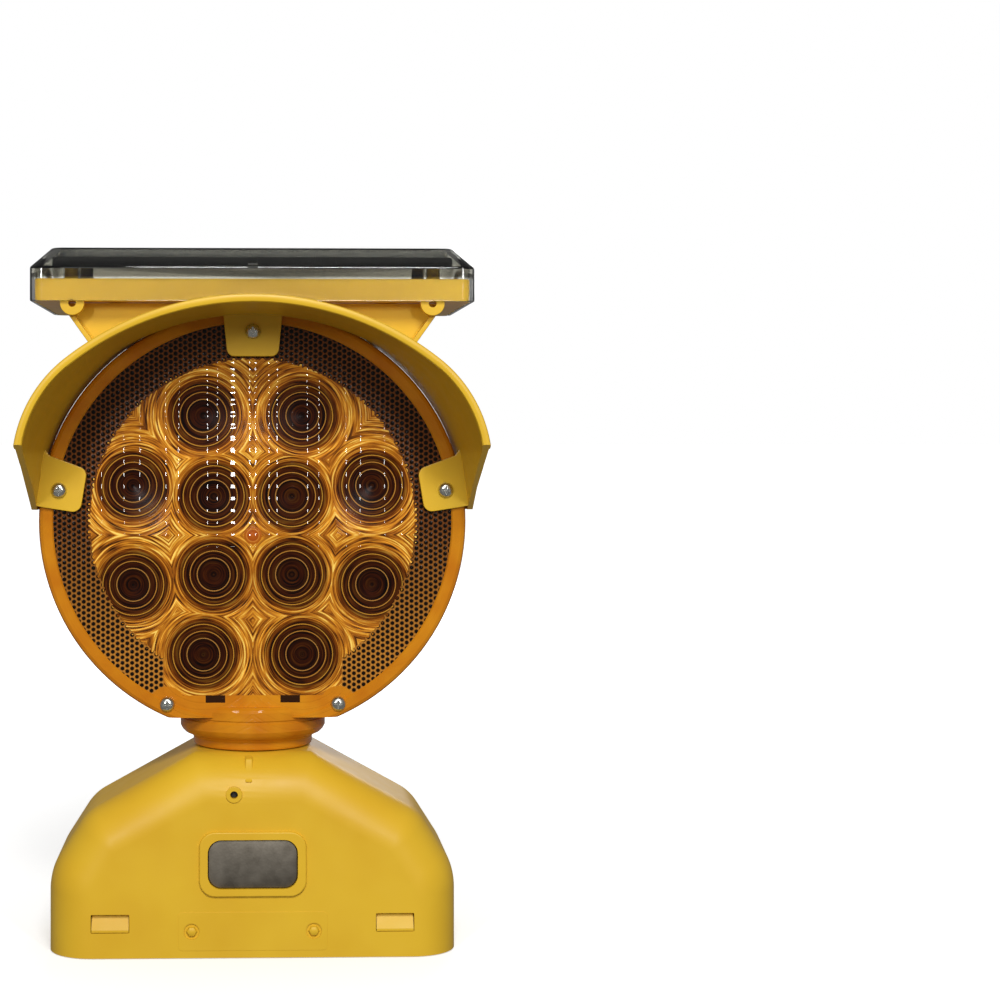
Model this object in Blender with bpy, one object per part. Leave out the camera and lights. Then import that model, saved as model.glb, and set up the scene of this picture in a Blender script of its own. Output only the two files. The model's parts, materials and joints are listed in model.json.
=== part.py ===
"""Solar-assisted barricade warning light.

An amber lens in two halves closes round the neck of a yellow battery case and turns on it. A visor
is screwed to the lens and carries a solar panel. The battery tray drops out of the case's bottom.

Frame: metres, +Z up, the lens faces -Y. The origin is on the floor, on the axis of the swivel.
"""

import math

import bmesh
import bpy
from mathutils import Vector

MM = 0.001
GAP = 0.3 * MM  # between pieces that touch

# Battery case: seen from the front, its half outline runs up through these corners (x, z, radius).
CASE_CORNERS = ((91.0, 36.0, 30.0), (74.7, 61.5, 22.0), (26.0, 88.4, 0.0))
CASE_DEPTH = 86.0 * MM
CASE_ROUND = 20.0 * MM  # round of the front and back edges
CASE_WALL = 2.6 * MM
CASE_TOP = CASE_CORNERS[-1][1] * MM
CASE_FRONT = -CASE_DEPTH / 2
WINDOW = (39.8 * MM, 21.7 * MM, 6.0 * MM)  # anchor plate window: width, height, corner radius
FRAME = (47.3 * MM, 28.6 * MM, 7.0 * MM)  # raised frame round it
FRAME_RAISE = 1.5 * MM
PLATE_Z = 41.4 * MM  # height of the anchor plate and of the barricade bolt
BOLT_HOLE_R = 7.0 * MM
SWITCH_X, SWITCH_Z = -8.3 * MM, 72.0 * MM
SWITCH_HOLE_R = 1.7 * MM
BUMP_X, BUMP_Z = 27.0 * MM, 11.7 * MM
BUMP_DIMPLE_R, BUMP_HEX_R = 3.5 * MM, 2.4 * MM
CONTROL_POSTS = ((-22.0 * MM, 62.0 * MM), (22.0 * MM, 62.0 * MM))  # posts of the control board
PILOT_R = 1.5 * MM  # holes for the M2.5 screws

# Snap hooks and their windows
HOOK_X = 63.0 * MM
HOOK_WIDTH = 16.4 * MM
HOOK_LOW, HOOK_HIGH = 11.4 * MM, 19.0 * MM

# Neck of the case, and the collar that the two lens halves close round it
NECK_R, NECK_BORE_R, NECK_TOP = 21.0 * MM, 15.5 * MM, 100.7 * MM
FLANGE_R, FLANGE_Z = 28.6 * MM, 97.6 * MM
RUNNING = 0.5 * MM  # clearance of the swivel

# Lens: a drum whose axis lies along Y
LENS_Z = 192.0 * MM
LENS_HALF = 28.0 * MM
LENS_FLOOR = 104.0 * MM  # the drum is cut off here, and the collar takes over
LENS_WALL = 2.4 * MM
PARTING = 0.25 * MM
GASKET_LOW = 118.3 * MM  # the gasket's two ends
LENS_STEPS = 36
ROUND_STEPS = 24  # round of the neck and the collar

# Screws through the lens rim: name, x, z, and whether a visor tab lies under the head
LENS_SCREWS = (
    ("top", 0.0, 277.4, True),
    ("left", -86.6, 206.3, True),
    ("right", 86.6, 206.3, True),
    ("lower_left", -38.4, 110.1, False),
    ("lower_right", 38.4, 110.1, False),
)
BOSS_R, BORE_R, SHANK_R = 5.4 * MM, 2.35 * MM, 2.0 * MM
BOARD_Y = -13.0 * MM  # back face of the LED board
BOARD_THICK = 1.6 * MM
BOARD_R = 69.0 * MM
POST_R = 4.0 * MM
ARRAY_Z = LENS_Z - 6.0 * MM  # centre of the LED pattern
LED_RINGS = ((8, 58.0 * MM, 22.5), (4, 24.8 * MM, 45.0))  # count, ring radius, first angle

# Visor: the outline of its front edge above the lens centre, a flat arc that runs into a tighter one
HOOD_TOP, HOOD_TOP_R, HOOD_TURN = 98.5 * MM, 128.0 * MM, 38.0
HOOD_HALF_WIDTH = 101.0 * MM
HOOD_END = (102.4 * MM, 5.5 * MM)
HOOD_WALL = 2.8 * MM
HOOD_FRONT, HOOD_BACK = -88.5 * MM, -16.0 * MM
HOOD_BACK_SCALE, HOOD_BACK_R = 0.97, 99.9 * MM  # at its back the hood closes in on the round rim
LENS_ROOM_R = 96.8 * MM  # the hood's sides reach back round the lens rim, clear of this radius
TAB_THICK = 2.5 * MM
WEB_Y = (-42.0 * MM, -39.4 * MM)  # the web under the solar box
WEB_HALF = 84.7 * MM
GUSSET_Y = (-48.4 * MM, -32.0 * MM)  # the flanges along the web's slanted ends

# Solar box
BOX_HALF = 97.5 * MM
BOX_FRONT, BOX_BACK = -55.0 * MM, 60.0 * MM
BOX_LOW, BOX_CHAMFER_Z, BOX_TOP = 289.5 * MM, 304.4 * MM, 313.4 * MM
COVER_WALL = 1.9 * MM
TRAY_TOP = 299.3 * MM
PANEL_Z = 306.0 * MM
EAR_X, EAR_Z, EAR_R = 78.8 * MM, 288.6 * MM, 5.3 * MM
LEAD_X, LEAD_Y = 13.0 * MM, 12.0 * MM  # the solar lead comes down here
TRAY_SCREWS = ((-60.0 * MM, -37.0 * MM), (60.0 * MM, -37.0 * MM))  # x, y

# Battery cells, size D, lying along X
CELL_R, CELL_LENGTH = 17.1 * MM, 61.5 * MM
CELL_Y = 18.2 * MM
TRAY_FLOOR = 2.4 * MM
TRAY_HALF = (88.0 * MM, 40.0 * MM)
TRAY_RIM = 1.8 * MM
TRAY_CORNER = 17.0 * MM
CELL_Z = TRAY_FLOOR + 0.4 * MM + CELL_R
CELL_START = -59.0 * MM


# ---------------------------------------------------------------------------------------------
# Shapes


def polar(radius, degrees):
    return (
        radius * math.cos(math.radians(degrees)),
        radius * math.sin(math.radians(degrees)),
    )


def rounded(corners, steps=4):
    """The closed outline through these (u, v, radius) corners, each an arc of its radius."""
    outline = []
    for index, (u, v, radius) in enumerate(corners):
        here = Vector((u, v))
        if radius == 0:
            outline.append(here)
            continue
        before = (Vector(corners[index - 1][:2]) - here).normalized()
        after = (Vector(corners[(index + 1) % len(corners)][:2]) - here).normalized()
        half = before.angle(after) / 2
        centre = here + (before + after).normalized() * radius / math.sin(half)
        start = here + before * radius / math.tan(half) - centre
        end = here + after * radius / math.tan(half) - centre
        turn = start.angle(end)
        for step in range(steps + 1):
            share = step / steps
            outline.append(
                centre
                + (start * math.sin((1 - share) * turn) + end * math.sin(share * turn))
                / math.sin(turn)
            )
    return outline


def rectangle(low_u, low_v, high_u, high_v, radius=0.0, steps=4):
    corners = ((high_u, low_v), (high_u, high_v), (low_u, high_v), (low_u, low_v))
    return rounded([(u, v, radius) for u, v in corners], steps)


def centred(size, u=0.0, v=0.0):
    """A rounded rectangle of this (width, height, radius) about a point."""
    width, height, radius = size
    return rectangle(
        u - width / 2, v - height / 2, u + width / 2, v + height / 2, radius
    )


def placed(u, v, w, axis):
    """A point whose outline coordinates are u and v, at w along the axis."""
    return {"X": (w, u, v), "Y": (u, w, v), "Z": (u, v, w)}[axis]


def prism(outline, low, high, axis="Y"):
    shape = bmesh.new()
    face = shape.faces.new(
        [shape.verts.new(placed(u, v, low, axis)) for u, v in outline]
    )
    grown = bmesh.ops.extrude_face_region(shape, geom=[face])["geom"]
    moved = [item for item in grown if isinstance(item, bmesh.types.BMVert)]
    bmesh.ops.translate(shape, verts=moved, vec=placed(0, 0, high - low, axis))
    return shape


def block(low, high):
    return prism(rectangle(low[0], low[1], high[0], high[1]), low[2], high[2], "Z")


def rods(points, radius, low, high, axis="Y", sides=12):
    """Round rods of one radius through these points of the plane across the axis."""
    shape = bmesh.new()
    for u, v in points:
        rim = [polar(radius, 360 * (step + 0.5) / sides) for step in range(sides)]
        ends = [
            [shape.verts.new(placed(u + du, v + dv, w, axis)) for du, dv in rim]
            for w in (low, high)
        ]
        for end in ends:
            shape.faces.new(end)
        loops = [
            [shape.edges.get((a, b)) for a, b in zip(end, end[1:] + end[:1])]
            for end in ends
        ]
        bmesh.ops.bridge_loops(shape, edges=loops[0] + loops[1])
    return shape


def turned(profile, steps, axis="Z"):
    """A solid of revolution from a closed (radius, height) profile, which may touch the axis."""
    shape = bmesh.new()
    points = [shape.verts.new(placed(r, 0, h, axis)) for r, h in profile]
    pairs = list(zip(points, points[1:] + points[:1]))
    if profile[0][0] == 0 and profile[-1][0] == 0:
        pairs.pop()
    edges = [shape.edges.new(pair) for pair in pairs]
    bmesh.ops.spin(
        shape,
        geom=points + edges,
        cent=(0, 0, 0),
        axis=placed(0, 0, 1, axis),
        dvec=(0, 0, 0),
        angle=math.tau,
        steps=steps,
        use_merge=True,
    )
    bmesh.ops.remove_doubles(shape, verts=shape.verts, dist=1e-7)
    return shape


def loft(rings):
    """A closed skin over rings of points that have as many points each, capped at both ends."""
    shape = bmesh.new()
    loops = [[shape.verts.new(point) for point in ring] for ring in rings]
    for one, two in zip(loops, loops[1:]):
        for index in range(len(one)):
            shape.faces.new(
                (one[index - 1], one[index], two[index], two[index - 1])
            )
    shape.faces.new(loops[0])
    shape.faces.new(loops[-1])
    return shape


# ---------------------------------------------------------------------------------------------
# Objects


def finish(name, colour, roughness, metallic=0.0, alpha=1.0):
    material = bpy.data.materials.new(name)
    material.use_nodes = True
    shader = material.node_tree.nodes["Principled BSDF"]
    shader.inputs["Base Color"].default_value = (*colour, 1.0)
    shader.inputs["Roughness"].default_value = roughness
    shader.inputs["Metallic"].default_value = metallic
    shader.inputs["Alpha"].default_value = alpha
    return material


def make(name, shape, material=None, parent=None, smooth=True):
    """Links a shape as a named object with its faces outward."""
    bmesh.ops.recalc_face_normals(shape, faces=shape.faces)
    mesh = bpy.data.meshes.new(name)
    shape.to_mesh(mesh)
    shape.free()
    if smooth:
        mesh.shade_smooth()
        mesh.set_sharp_from_angle(angle=math.radians(35))
    if material:
        mesh.materials.append(material)
    piece = bpy.data.objects.new(name, mesh)
    piece.parent = parent
    bpy.context.collection.objects.link(piece)
    return piece


def guide(shape, name="guide"):
    """A hidden object that a Boolean reads."""
    piece = make(name, shape)
    piece.hide_render = True
    piece.display_type = "WIRE"
    return piece


def combine(piece, operation, *shapes):
    """Adds one Boolean for each shape. DIFFERENCE cuts it away, UNION joins it."""
    for shape in shapes:
        step = piece.modifiers.new(operation.title(), "BOOLEAN")
        step.operation = operation
        step.solver = "EXACT"
        step.object = (
            shape if isinstance(shape, bpy.types.Object) else guide(shape)
        )


def empty(name):
    axis = bpy.data.objects.new(name, None)
    bpy.context.collection.objects.link(axis)
    return axis


# ---------------------------------------------------------------------------------------------
# Battery case


def case_ring(y, inset, foot):
    """The case's section at y, with its sides and top moved in by inset, down to z = foot."""
    path = [Vector((CASE_CORNERS[0][0], 0.0))]
    path += [Vector(corner[:2]) for corner in CASE_CORNERS]
    path += [Vector((0.0, CASE_CORNERS[-1][1]))]
    inward = []
    for one, two in zip(path, path[1:]):
        along = (two - one).normalized()
        inward.append(Vector((-along.y, along.x)))
    half = []
    for index, (_, _, radius) in enumerate(CASE_CORNERS):
        first, second = inward[index], inward[index + 1]
        move = (first + second) * inset / MM / (1 + first.dot(second))
        corner = path[index + 1] + move
        half.append((corner.x, corner.y, max(radius - inset / MM, 1.0)))
    low = (half[0][0], foot / MM, 0.0)
    mirrored = [(-u, v, radius) for u, v, radius in reversed(half)]
    outline = rounded([low, *half, *mirrored, (-low[0], low[1], 0.0)], steps=3)
    return [(u * MM, y, v * MM) for u, v in outline]


def case_solid(inset, foot):
    """The whole case as one solid whose front and back edges are rounded."""
    reach, bend = CASE_DEPTH / 2 - CASE_ROUND, CASE_ROUND - inset
    rings = []
    for step in range(5):
        angle = math.radians(90 - 22.5 * step)
        rings.append(
            (reach + bend * math.sin(angle), inset + bend * (1 - math.cos(angle)))
        )
    stations = [(-y, depth) for y, depth in rings]
    stations += [(y, depth) for y, depth in reversed(rings)]
    return loft([case_ring(y, depth, foot) for y, depth in stations])


def build_case(plastic):
    case = make("case_shell", case_solid(0.0, 0.0), plastic)
    wall_in = CASE_FRONT + CASE_WALL
    neck = [
        (NECK_BORE_R, CASE_TOP - 2.0 * MM),
        (NECK_R, CASE_TOP - 2.0 * MM),
        (NECK_R, 91.2 * MM),
        (NECK_R - 1.7 * MM, 91.2 * MM),
        (NECK_R - 1.7 * MM, 93.8 * MM),
        (NECK_R, 93.8 * MM),
        (NECK_R, FLANGE_Z),
        (FLANGE_R, FLANGE_Z),
        (FLANGE_R, NECK_TOP),
        (NECK_BORE_R, NECK_TOP),
    ]
    combine(
        case,
        "UNION",
        turned(neck, ROUND_STEPS),
        prism(centred(FRAME, 0, PLATE_Z), CASE_FRONT - FRAME_RAISE, wall_in - 1.0 * MM),
        rods([(SWITCH_X, SWITCH_Z)], 3.6 * MM, CASE_FRONT - 0.6 * MM, wall_in - 1.0 * MM),
        block((-3.6 * MM, -41.6 * MM, 77.5 * MM), (0.0, -30.0 * MM, 86.4 * MM)),
    )
    bumps = [(-BUMP_X, BUMP_Z), (BUMP_X, BUMP_Z)]
    windows = [
        block(
            (side * HOOK_X - HOOK_WIDTH / 2 - GAP, face * 38.0 * MM, HOOK_LOW - GAP),
            (side * HOOK_X + HOOK_WIDTH / 2 + GAP, face * 46.0 * MM, HOOK_HIGH + GAP),
        )
        for side in (-1, 1)
        for face in (-1, 1)
    ]
    combine(case, "DIFFERENCE", case_solid(CASE_WALL, -2.0 * MM))
    combine(case, "UNION", rods(CONTROL_POSTS, 3.2 * MM, wall_in - 1.0 * MM, -28.0 * MM))
    combine(
        case,
        "DIFFERENCE",
        prism(centred(WINDOW, 0, PLATE_Z), CASE_FRONT - 4.0 * MM, wall_in + 2.0 * MM),
        rods([(SWITCH_X, SWITCH_Z)], SWITCH_HOLE_R, CASE_FRONT - 4.0 * MM, wall_in + 4.0 * MM),
        rods([(0, PLATE_Z)], BOLT_HOLE_R, 38.0 * MM, 46.0 * MM, sides=24),
        rods([(0, 0)], NECK_BORE_R, CASE_TOP - 6.0 * MM, NECK_TOP + 2.0 * MM, "Z", ROUND_STEPS),
        rods(bumps, BUMP_DIMPLE_R, CASE_FRONT - 2.0 * MM, CASE_FRONT + 0.6 * MM),
        rods(CONTROL_POSTS, PILOT_R, -35.0 * MM, -27.0 * MM, sides=8),
        *windows,
    )
    combine(
        case,
        "UNION",
        rods(bumps, BUMP_HEX_R, CASE_FRONT - 0.8 * MM, CASE_FRONT + 1.2 * MM, sides=6),
    )


def build_case_fittings(steel, board, black):
    pad = make(
        "anchor_plate",
        prism(
            centred((39.2 * MM, 21.1 * MM, 5.7 * MM), 0, PLATE_Z), -43.3 * MM, -39.5 * MM
        ),
        steel,
    )
    combine(
        pad,
        "UNION",
        prism(centred((45.0 * MM, 27.0 * MM, 6.0 * MM), 0, PLATE_Z), -40.1 * MM, -38.3 * MM),
    )
    back = make(
        "back_plate",
        prism(centred((50.0 * MM, 40.0 * MM, 3.0 * MM), 0, 43.0 * MM), 38.1 * MM, 40.1 * MM),
        steel,
    )
    combine(back, "DIFFERENCE", rods([(0, PLATE_Z)], BOLT_HOLE_R, 36.0 * MM, 42.0 * MM, sides=24))
    seal_r, seal_thick = 20.35 * MM, 0.85 * MM
    seal = [polar(seal_thick, 60 * step) for step in range(6)]
    make(
        "neck_seal",
        turned([(seal_r + u, 92.5 * MM + v) for u, v in seal], ROUND_STEPS),
        black,
    )
    body = make(
        "switch_body",
        block(
            (SWITCH_X - 6.5 * MM, -37.6 * MM, SWITCH_Z - 4.0 * MM),
            (SWITCH_X + 6.5 * MM, -28.0 * MM, SWITCH_Z + 4.0 * MM),
        ),
        black,
    )
    combine(
        body,
        "DIFFERENCE",
        rods([(SWITCH_X, SWITCH_Z)], SWITCH_HOLE_R, -40.0 * MM, -30.0 * MM),
    )
    plunger = make(
        "switch_plunger",
        rods([(0, 0)], 1.4 * MM, -41.4 * MM, -33.0 * MM, sides=12),
        black,
    )
    plunger.location = (SWITCH_X, 0, SWITCH_Z)
    circuit = make(
        "control_board",
        prism(rectangle(-30.0 * MM, 56.0 * MM, 30.0 * MM, 79.0 * MM), -27.7 * MM, -26.1 * MM),
        board,
        smooth=False,
    )
    combine(circuit, "DIFFERENCE", rods(CONTROL_POSTS, PILOT_R, -30.0 * MM, -24.0 * MM, sides=8))
    make(
        "flasher_module",
        prism(
            rectangle(-12.0 * MM, 64.0 * MM, 14.0 * MM, 77.0 * MM, 1.0 * MM, 2),
            -25.8 * MM,
            -18.0 * MM,
        ),
        black,
    )
    for side, (x, z) in zip(("left", "right"), CONTROL_POSTS):
        screw = make(f"board_screw_{side}", small_screw(), steel)
        screw.location = (x, -25.8 * MM, z)
        screw.rotation_euler.z = math.pi


def small_screw():
    """An M2.5 pan screw whose head is towards -Y and whose shank runs back along +Y."""
    profile = [
        (0.0, -1.8 * MM),
        (1.8 * MM, -1.5 * MM),
        (2.4 * MM, 0.0),
        (1.2 * MM, 0.0),
        (1.2 * MM, 7.0 * MM),
        (0.0, 7.0 * MM),
    ]
    return turned(profile, 10, "Y")


# ---------------------------------------------------------------------------------------------
# Battery tray


def build_tray(plastic, steel, sleeve, parent):
    width, depth = 2 * TRAY_HALF[0], 2 * TRAY_HALF[1]
    outside = centred((width, depth, TRAY_CORNER))
    inside = centred((width - 2 * TRAY_RIM, depth - 2 * TRAY_RIM, TRAY_CORNER - TRAY_RIM))
    tray = make("battery_tray", prism(outside, 0.0, TRAY_FLOOR, "Z"), plastic, parent)
    wall = guide(prism(outside, 1.0 * MM, 9.0 * MM, "Z"))
    combine(wall, "DIFFERENCE", prism(inside, -1.0 * MM, 12.0 * MM, "Z"))
    combine(tray, "UNION", wall)
    for x in (-45.0, -15.0, 20.0, 50.0):
        reach = (depth - TRAY_RIM) / 2
        rib = block(((x - 1) * MM, -reach, 1.0 * MM), ((x + 1) * MM, reach, 13.0 * MM))
        combine(tray, "UNION", rib)
    rows = [(y, CELL_Z) for y in (-CELL_Y, CELL_Y)]
    slots = [
        block(
            (side * HOOK_X - 8.6 * MM, min(face * 37.0, face * 41.0) * MM, TRAY_FLOOR),
            (side * HOOK_X + 8.6 * MM, max(face * 37.0, face * 41.0) * MM, 12.0 * MM),
        )
        for side in (-1, 1)
        for face in (-1, 1)
    ]
    combine(
        tray,
        "DIFFERENCE",
        rods(rows, CELL_R + 0.4 * MM, -66.0 * MM, 66.0 * MM, "X", 32),
        *slots,
    )
    for end, x in (("left", -66.6 * MM), ("right", 65.2 * MM)):
        plate = block((x, -32.0 * MM, TRAY_FLOOR + GAP), (x + 0.8 * MM, 32.0 * MM, 34.0 * MM))
        make(f"contact_plate_{end}", plate, steel, parent, smooth=False)
    for row, y in (("front", -CELL_Y), ("back", CELL_Y)):
        spring = make_spring(f"contact_spring_{row}", steel, parent)
        spring.location = (-65.5 * MM, y, CELL_Z)
    build_cells(sleeve, parent)
    build_hooks(plastic, parent)


def make_spring(name, steel, parent):
    """A cone spring whose axis lies along +X, wide end first."""
    wire, turns, length = 0.5 * MM, 3, 6.1 * MM
    spine = bpy.data.curves.new(name, "CURVE")
    spine.dimensions = "3D"
    spine.bevel_depth = wire
    spine.bevel_resolution = 1
    spine.use_fill_caps = True
    path = spine.splines.new("POLY")
    count = turns * 9 + 1
    path.points.add(count - 1)
    for index in range(count):
        share = index / (count - 1)
        y, z = polar((6.5 - 2.5 * share) * MM, 360 * turns * share)
        path.points[index].co = (wire + (length - 2 * wire) * share, y, z, 1.0)
    spine.materials.append(steel)
    spring = bpy.data.objects.new(name, spine)
    spring.parent = parent
    bpy.context.collection.objects.link(spring)
    return spring


def build_cells(sleeve, parent):
    profile = [
        (0.0, 0.0),
        (CELL_R - 1.2 * MM, 0.0),
        (CELL_R, 1.2 * MM),
        (CELL_R, CELL_LENGTH - 3.0 * MM),
        (CELL_R - 1.2 * MM, CELL_LENGTH - 1.8 * MM),
        (4.75 * MM, CELL_LENGTH - 1.8 * MM),
        (4.75 * MM, CELL_LENGTH),
        (0.0, CELL_LENGTH),
    ]
    number = 0
    for y in (-CELL_Y, CELL_Y):
        for place in range(2):
            number += 1
            cell = make(f"battery_cell_{number}", turned(profile, 20, "X"), sleeve, parent)
            start = CELL_START + place * (CELL_LENGTH + 0.4 * MM)
            cell.location = (start, y, CELL_Z)


def build_hooks(plastic, parent):
    """Each hook is an arm that stands on the tray and a wedge nose that fills its window."""
    profile = [
        (38.0 * MM, TRAY_FLOOR + GAP),
        (39.9 * MM, TRAY_FLOOR + GAP),
        (39.9 * MM, HOOK_LOW),
        (42.8 * MM, HOOK_LOW),
        (42.8 * MM, HOOK_LOW + 1.0 * MM),
        (40.2 * MM, HOOK_HIGH),
        (38.0 * MM, HOOK_HIGH),
    ]
    for face, sign in (("front", -1), ("back", 1)):
        outline = [(sign * y, z) for y, z in profile]
        for side, x in (("left", -HOOK_X), ("right", HOOK_X)):
            arm = prism(outline, x - HOOK_WIDTH / 2, x + HOOK_WIDTH / 2, "X")
            make(f"tray_hook_{face}_{side}", arm, plastic, parent, smooth=False)


# ---------------------------------------------------------------------------------------------
# Lens


def lens_solid(steps=LENS_STEPS):
    """The drum's outside: a shallow dome, the flat ring of the reflector, and a rounded rim."""
    half = [
        (0.0, 31.0),
        (26.0, 30.6),
        (50.0, 29.5),
        (73.0, 28.0),
        (91.6, 28.0),
        (94.6, 26.8),
        (95.9, 23.6),
        (96.3, 3.0),
    ]
    front = [(r * MM, -y * MM) for r, y in half]
    back = [(r * MM, y * MM) for r, y in reversed(half)]
    return turned(front + back, steps, "Y")


def lens_hollow(steps=LENS_STEPS):
    """The drum's inside, narrower at the parting, where the halves have a flange."""
    half = [
        (0.0, 28.5),
        (50.0, 27.0),
        (73.0, 25.5),
        (90.8, 25.5),
        (92.9, 23.2),
        (93.7, 3.6),
        (89.6, 3.0),
    ]
    front = [(r * MM, -y * MM) for r, y in half]
    back = [(r * MM, y * MM) for r, y in reversed(half)]
    return turned(front + back, steps, "Y")


def collar_solid():
    profile = [
        (0.0, 88.8),
        (26.9, 88.8),
        (27.4, 89.6),
        (27.4, 92.2),
        (28.4, 93.9),
        (33.4, 96.8),
        (33.4, 107.0),
        (32.6, 107.8),
        (0.0, 107.8),
    ]
    return turned([(r * MM, z * MM) for r, z in profile], ROUND_STEPS)


def collar_hollow():
    """Running room round the neck and its flange, then a shelf with the wire hole."""
    neck, flange = NECK_R + RUNNING, FLANGE_R + RUNNING
    profile = [
        (0.0, 86.0 * MM),
        (neck, 86.0 * MM),
        (neck, FLANGE_Z - RUNNING),
        (flange, FLANGE_Z - RUNNING),
        (flange, NECK_TOP + RUNNING),
        (12.0 * MM, NECK_TOP + RUNNING),
        (12.0 * MM, 103.2 * MM),
        (26.0 * MM, 103.2 * MM),
        (26.0 * MM, 111.0 * MM),
        (0.0, 111.0 * MM),
    ]
    return turned(profile, ROUND_STEPS)


def build_lens_half(name, sign, amber, parent):
    """sign is -1 for the front half and +1 for the back half."""
    piece = make(name, lens_solid(), amber, parent)
    piece.location.z = LENS_Z
    span = 130.0 * MM
    combine(piece, "DIFFERENCE", block((-span, -span, 80.0 * MM), (span, span, LENS_FLOOR)))
    combine(piece, "UNION", collar_solid())
    hollow = guide(lens_hollow())
    hollow.location.z = LENS_Z
    below = block((-span, -span, 80.0 * MM), (span, span, LENS_FLOOR + LENS_WALL))
    combine(hollow, "DIFFERENCE", below)
    combine(piece, "DIFFERENCE", hollow, collar_hollow())
    places = [(x * MM, z * MM) for _, x, z, _ in LENS_SCREWS]
    combine(piece, "UNION", rods(places, BOSS_R, -LENS_HALF, LENS_HALF))
    edge = sign * PARTING
    others = (edge, span) if sign < 0 else (-span, edge)
    combine(piece, "DIFFERENCE", block((-span, others[0], 80.0 * MM), (span, others[1], 0.3)))
    bore_end = -LENS_HALF - 5.0 * MM if sign < 0 else 14.0 * MM
    combine(
        piece,
        "DIFFERENCE",
        rods(places, BORE_R, min(0, bore_end) - 2.0 * MM, max(0, bore_end) + 2.0 * MM, sides=12),
        gasket_groove(),
    )
    if sign > 0:
        combine(piece, "UNION", rods(board_posts(), POST_R, BOARD_Y + GAP, 27.0 * MM, sides=12))
        combine(
            piece,
            "DIFFERENCE",
            rods(board_posts(), PILOT_R, BOARD_Y - 2.0 * MM, -3.0 * MM, sides=8),
            rods([(LEAD_X, LEAD_Y)], 2.2 * MM, 280.0 * MM, 292.0 * MM, "Z", 12),
        )


def gasket_ring(radius_in, radius_out, half):
    profile = [(radius_in, -half), (radius_out, -half), (radius_out, half), (radius_in, half)]
    return turned(profile, LENS_STEPS, "Y")


def gasket_groove():
    """The gasket's groove: a C that ends above the lower screws and the collar."""
    groove = guide(gasket_ring(91.4 * MM, 93.4 * MM, 1.4 * MM))
    groove.location.z = LENS_Z
    combine(groove, "DIFFERENCE", block((-0.1, -0.1, 0.05), (0.1, 0.1, GASKET_LOW - GAP)))
    return groove


def board_posts():
    """Where the LED board is held: midway between LEDs of the outer ring."""
    return [(x, ARRAY_Z + z) for x, z in (polar(59.0 * MM, angle) for angle in (90, 225, 315))]


def led_places():
    for count, radius, first in LED_RINGS:
        for step in range(count):
            x, z = polar(radius, first + 360 * step / count)
            yield x, ARRAY_Z + z


def build_light_engine(rubber, board, lamp, black, steel, parent):
    gasket = make("lens_gasket", gasket_ring(91.7 * MM, 93.1 * MM, 1.1 * MM), rubber, parent)
    gasket.location.z = LENS_Z
    combine(gasket, "DIFFERENCE", block((-0.1, -0.1, 0.05), (0.1, 0.1, GASKET_LOW)))
    disc = make(
        "led_board",
        rods([(0, LENS_Z)], BOARD_R, BOARD_Y - BOARD_THICK, BOARD_Y, sides=36),
        board,
        parent,
    )
    combine(disc, "DIFFERENCE", rods(board_posts(), PILOT_R, -20.0 * MM, -10.0 * MM, sides=8))
    face = BOARD_Y - BOARD_THICK - GAP
    dome = [
        (0.0, -8.4 * MM),
        (1.5 * MM, -7.9 * MM),
        (2.5 * MM, -5.8 * MM),
        (2.5 * MM, -1.2 * MM),
        (2.9 * MM, -1.2 * MM),
        (2.9 * MM, 0.0),
        (0.0, 0.0),
    ]
    for number, (x, z) in enumerate(led_places(), 1):
        led = make(f"led_{number:02d}", turned(dome, 10, "Y"), lamp, parent)
        led.location = (x, face, z)
    make("photocell", rods([(0, ARRAY_Z)], 3.2 * MM, face - 2.2 * MM, face), black, parent)
    for number, (x, z) in enumerate(board_posts(), 1):
        screw = make(f"led_board_screw_{number}", small_screw(), steel, parent)
        screw.location = (x, face, z)


def build_lens_screws(zinc, parent):
    """Pan heads with a cross recess; their shanks run back into the bosses of the back half."""
    profile = [
        (0.0, -2.5 * MM),
        (1.7 * MM, -2.3 * MM),
        (2.8 * MM, -1.6 * MM),
        (3.4 * MM, -0.5 * MM),
        (3.4 * MM, 0.0),
        (SHANK_R, 0.0),
        (SHANK_R, 39.0 * MM),
        (0.0, 39.0 * MM),
    ]
    for name, x, z, tab in LENS_SCREWS:
        seat = -LENS_HALF - GAP - (TAB_THICK + GAP if tab else 0.0)
        screw = make(f"lens_screw_{name}", turned(profile, 16, "Y"), zinc, parent)
        screw.location = (x * MM, seat, z * MM)
        across, thin = 1.9 * MM, 0.45 * MM
        for wide, tall in ((across, thin), (thin, across)):
            slot = guide(block((-wide, -4.0 * MM, -tall), (wide, -1.2 * MM, tall)))
            slot.location = screw.location
            combine(screw, "DIFFERENCE", slot)


# ---------------------------------------------------------------------------------------------
# Visor


def hood_half(inset):
    """Right half of the hood's front outline from its top down, moved in by inset: (x, height)."""
    turn = math.radians(HOOD_TURN)
    centre = HOOD_TOP - HOOD_TOP_R
    tight = (HOOD_HALF_WIDTH - HOOD_TOP_R * math.sin(turn)) / (1 - math.sin(turn))
    hub = (
        (HOOD_TOP_R - tight) * math.sin(turn),
        centre + (HOOD_TOP_R - tight) * math.cos(turn),
    )
    points = []
    for step in range(1, 9):
        angle = turn * step / 8
        reach = HOOD_TOP_R - inset
        points.append((reach * math.sin(angle), centre + reach * math.cos(angle)))
    for step in range(1, 9):
        angle = turn + (math.pi / 2 - turn) * step / 8
        reach = tight - inset
        points.append((hub[0] + reach * math.sin(angle), hub[1] + reach * math.cos(angle)))
    points.append((HOOD_END[0] - inset, HOOD_END[1]))
    return points


def hood_outline(inset):
    """The hood's whole outline, from its right end over the top to its left end."""
    half = hood_half(inset)
    top = (0.0, HOOD_TOP - inset)
    return [*reversed(half), top, *[(-x, z) for x, z in half]]


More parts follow.
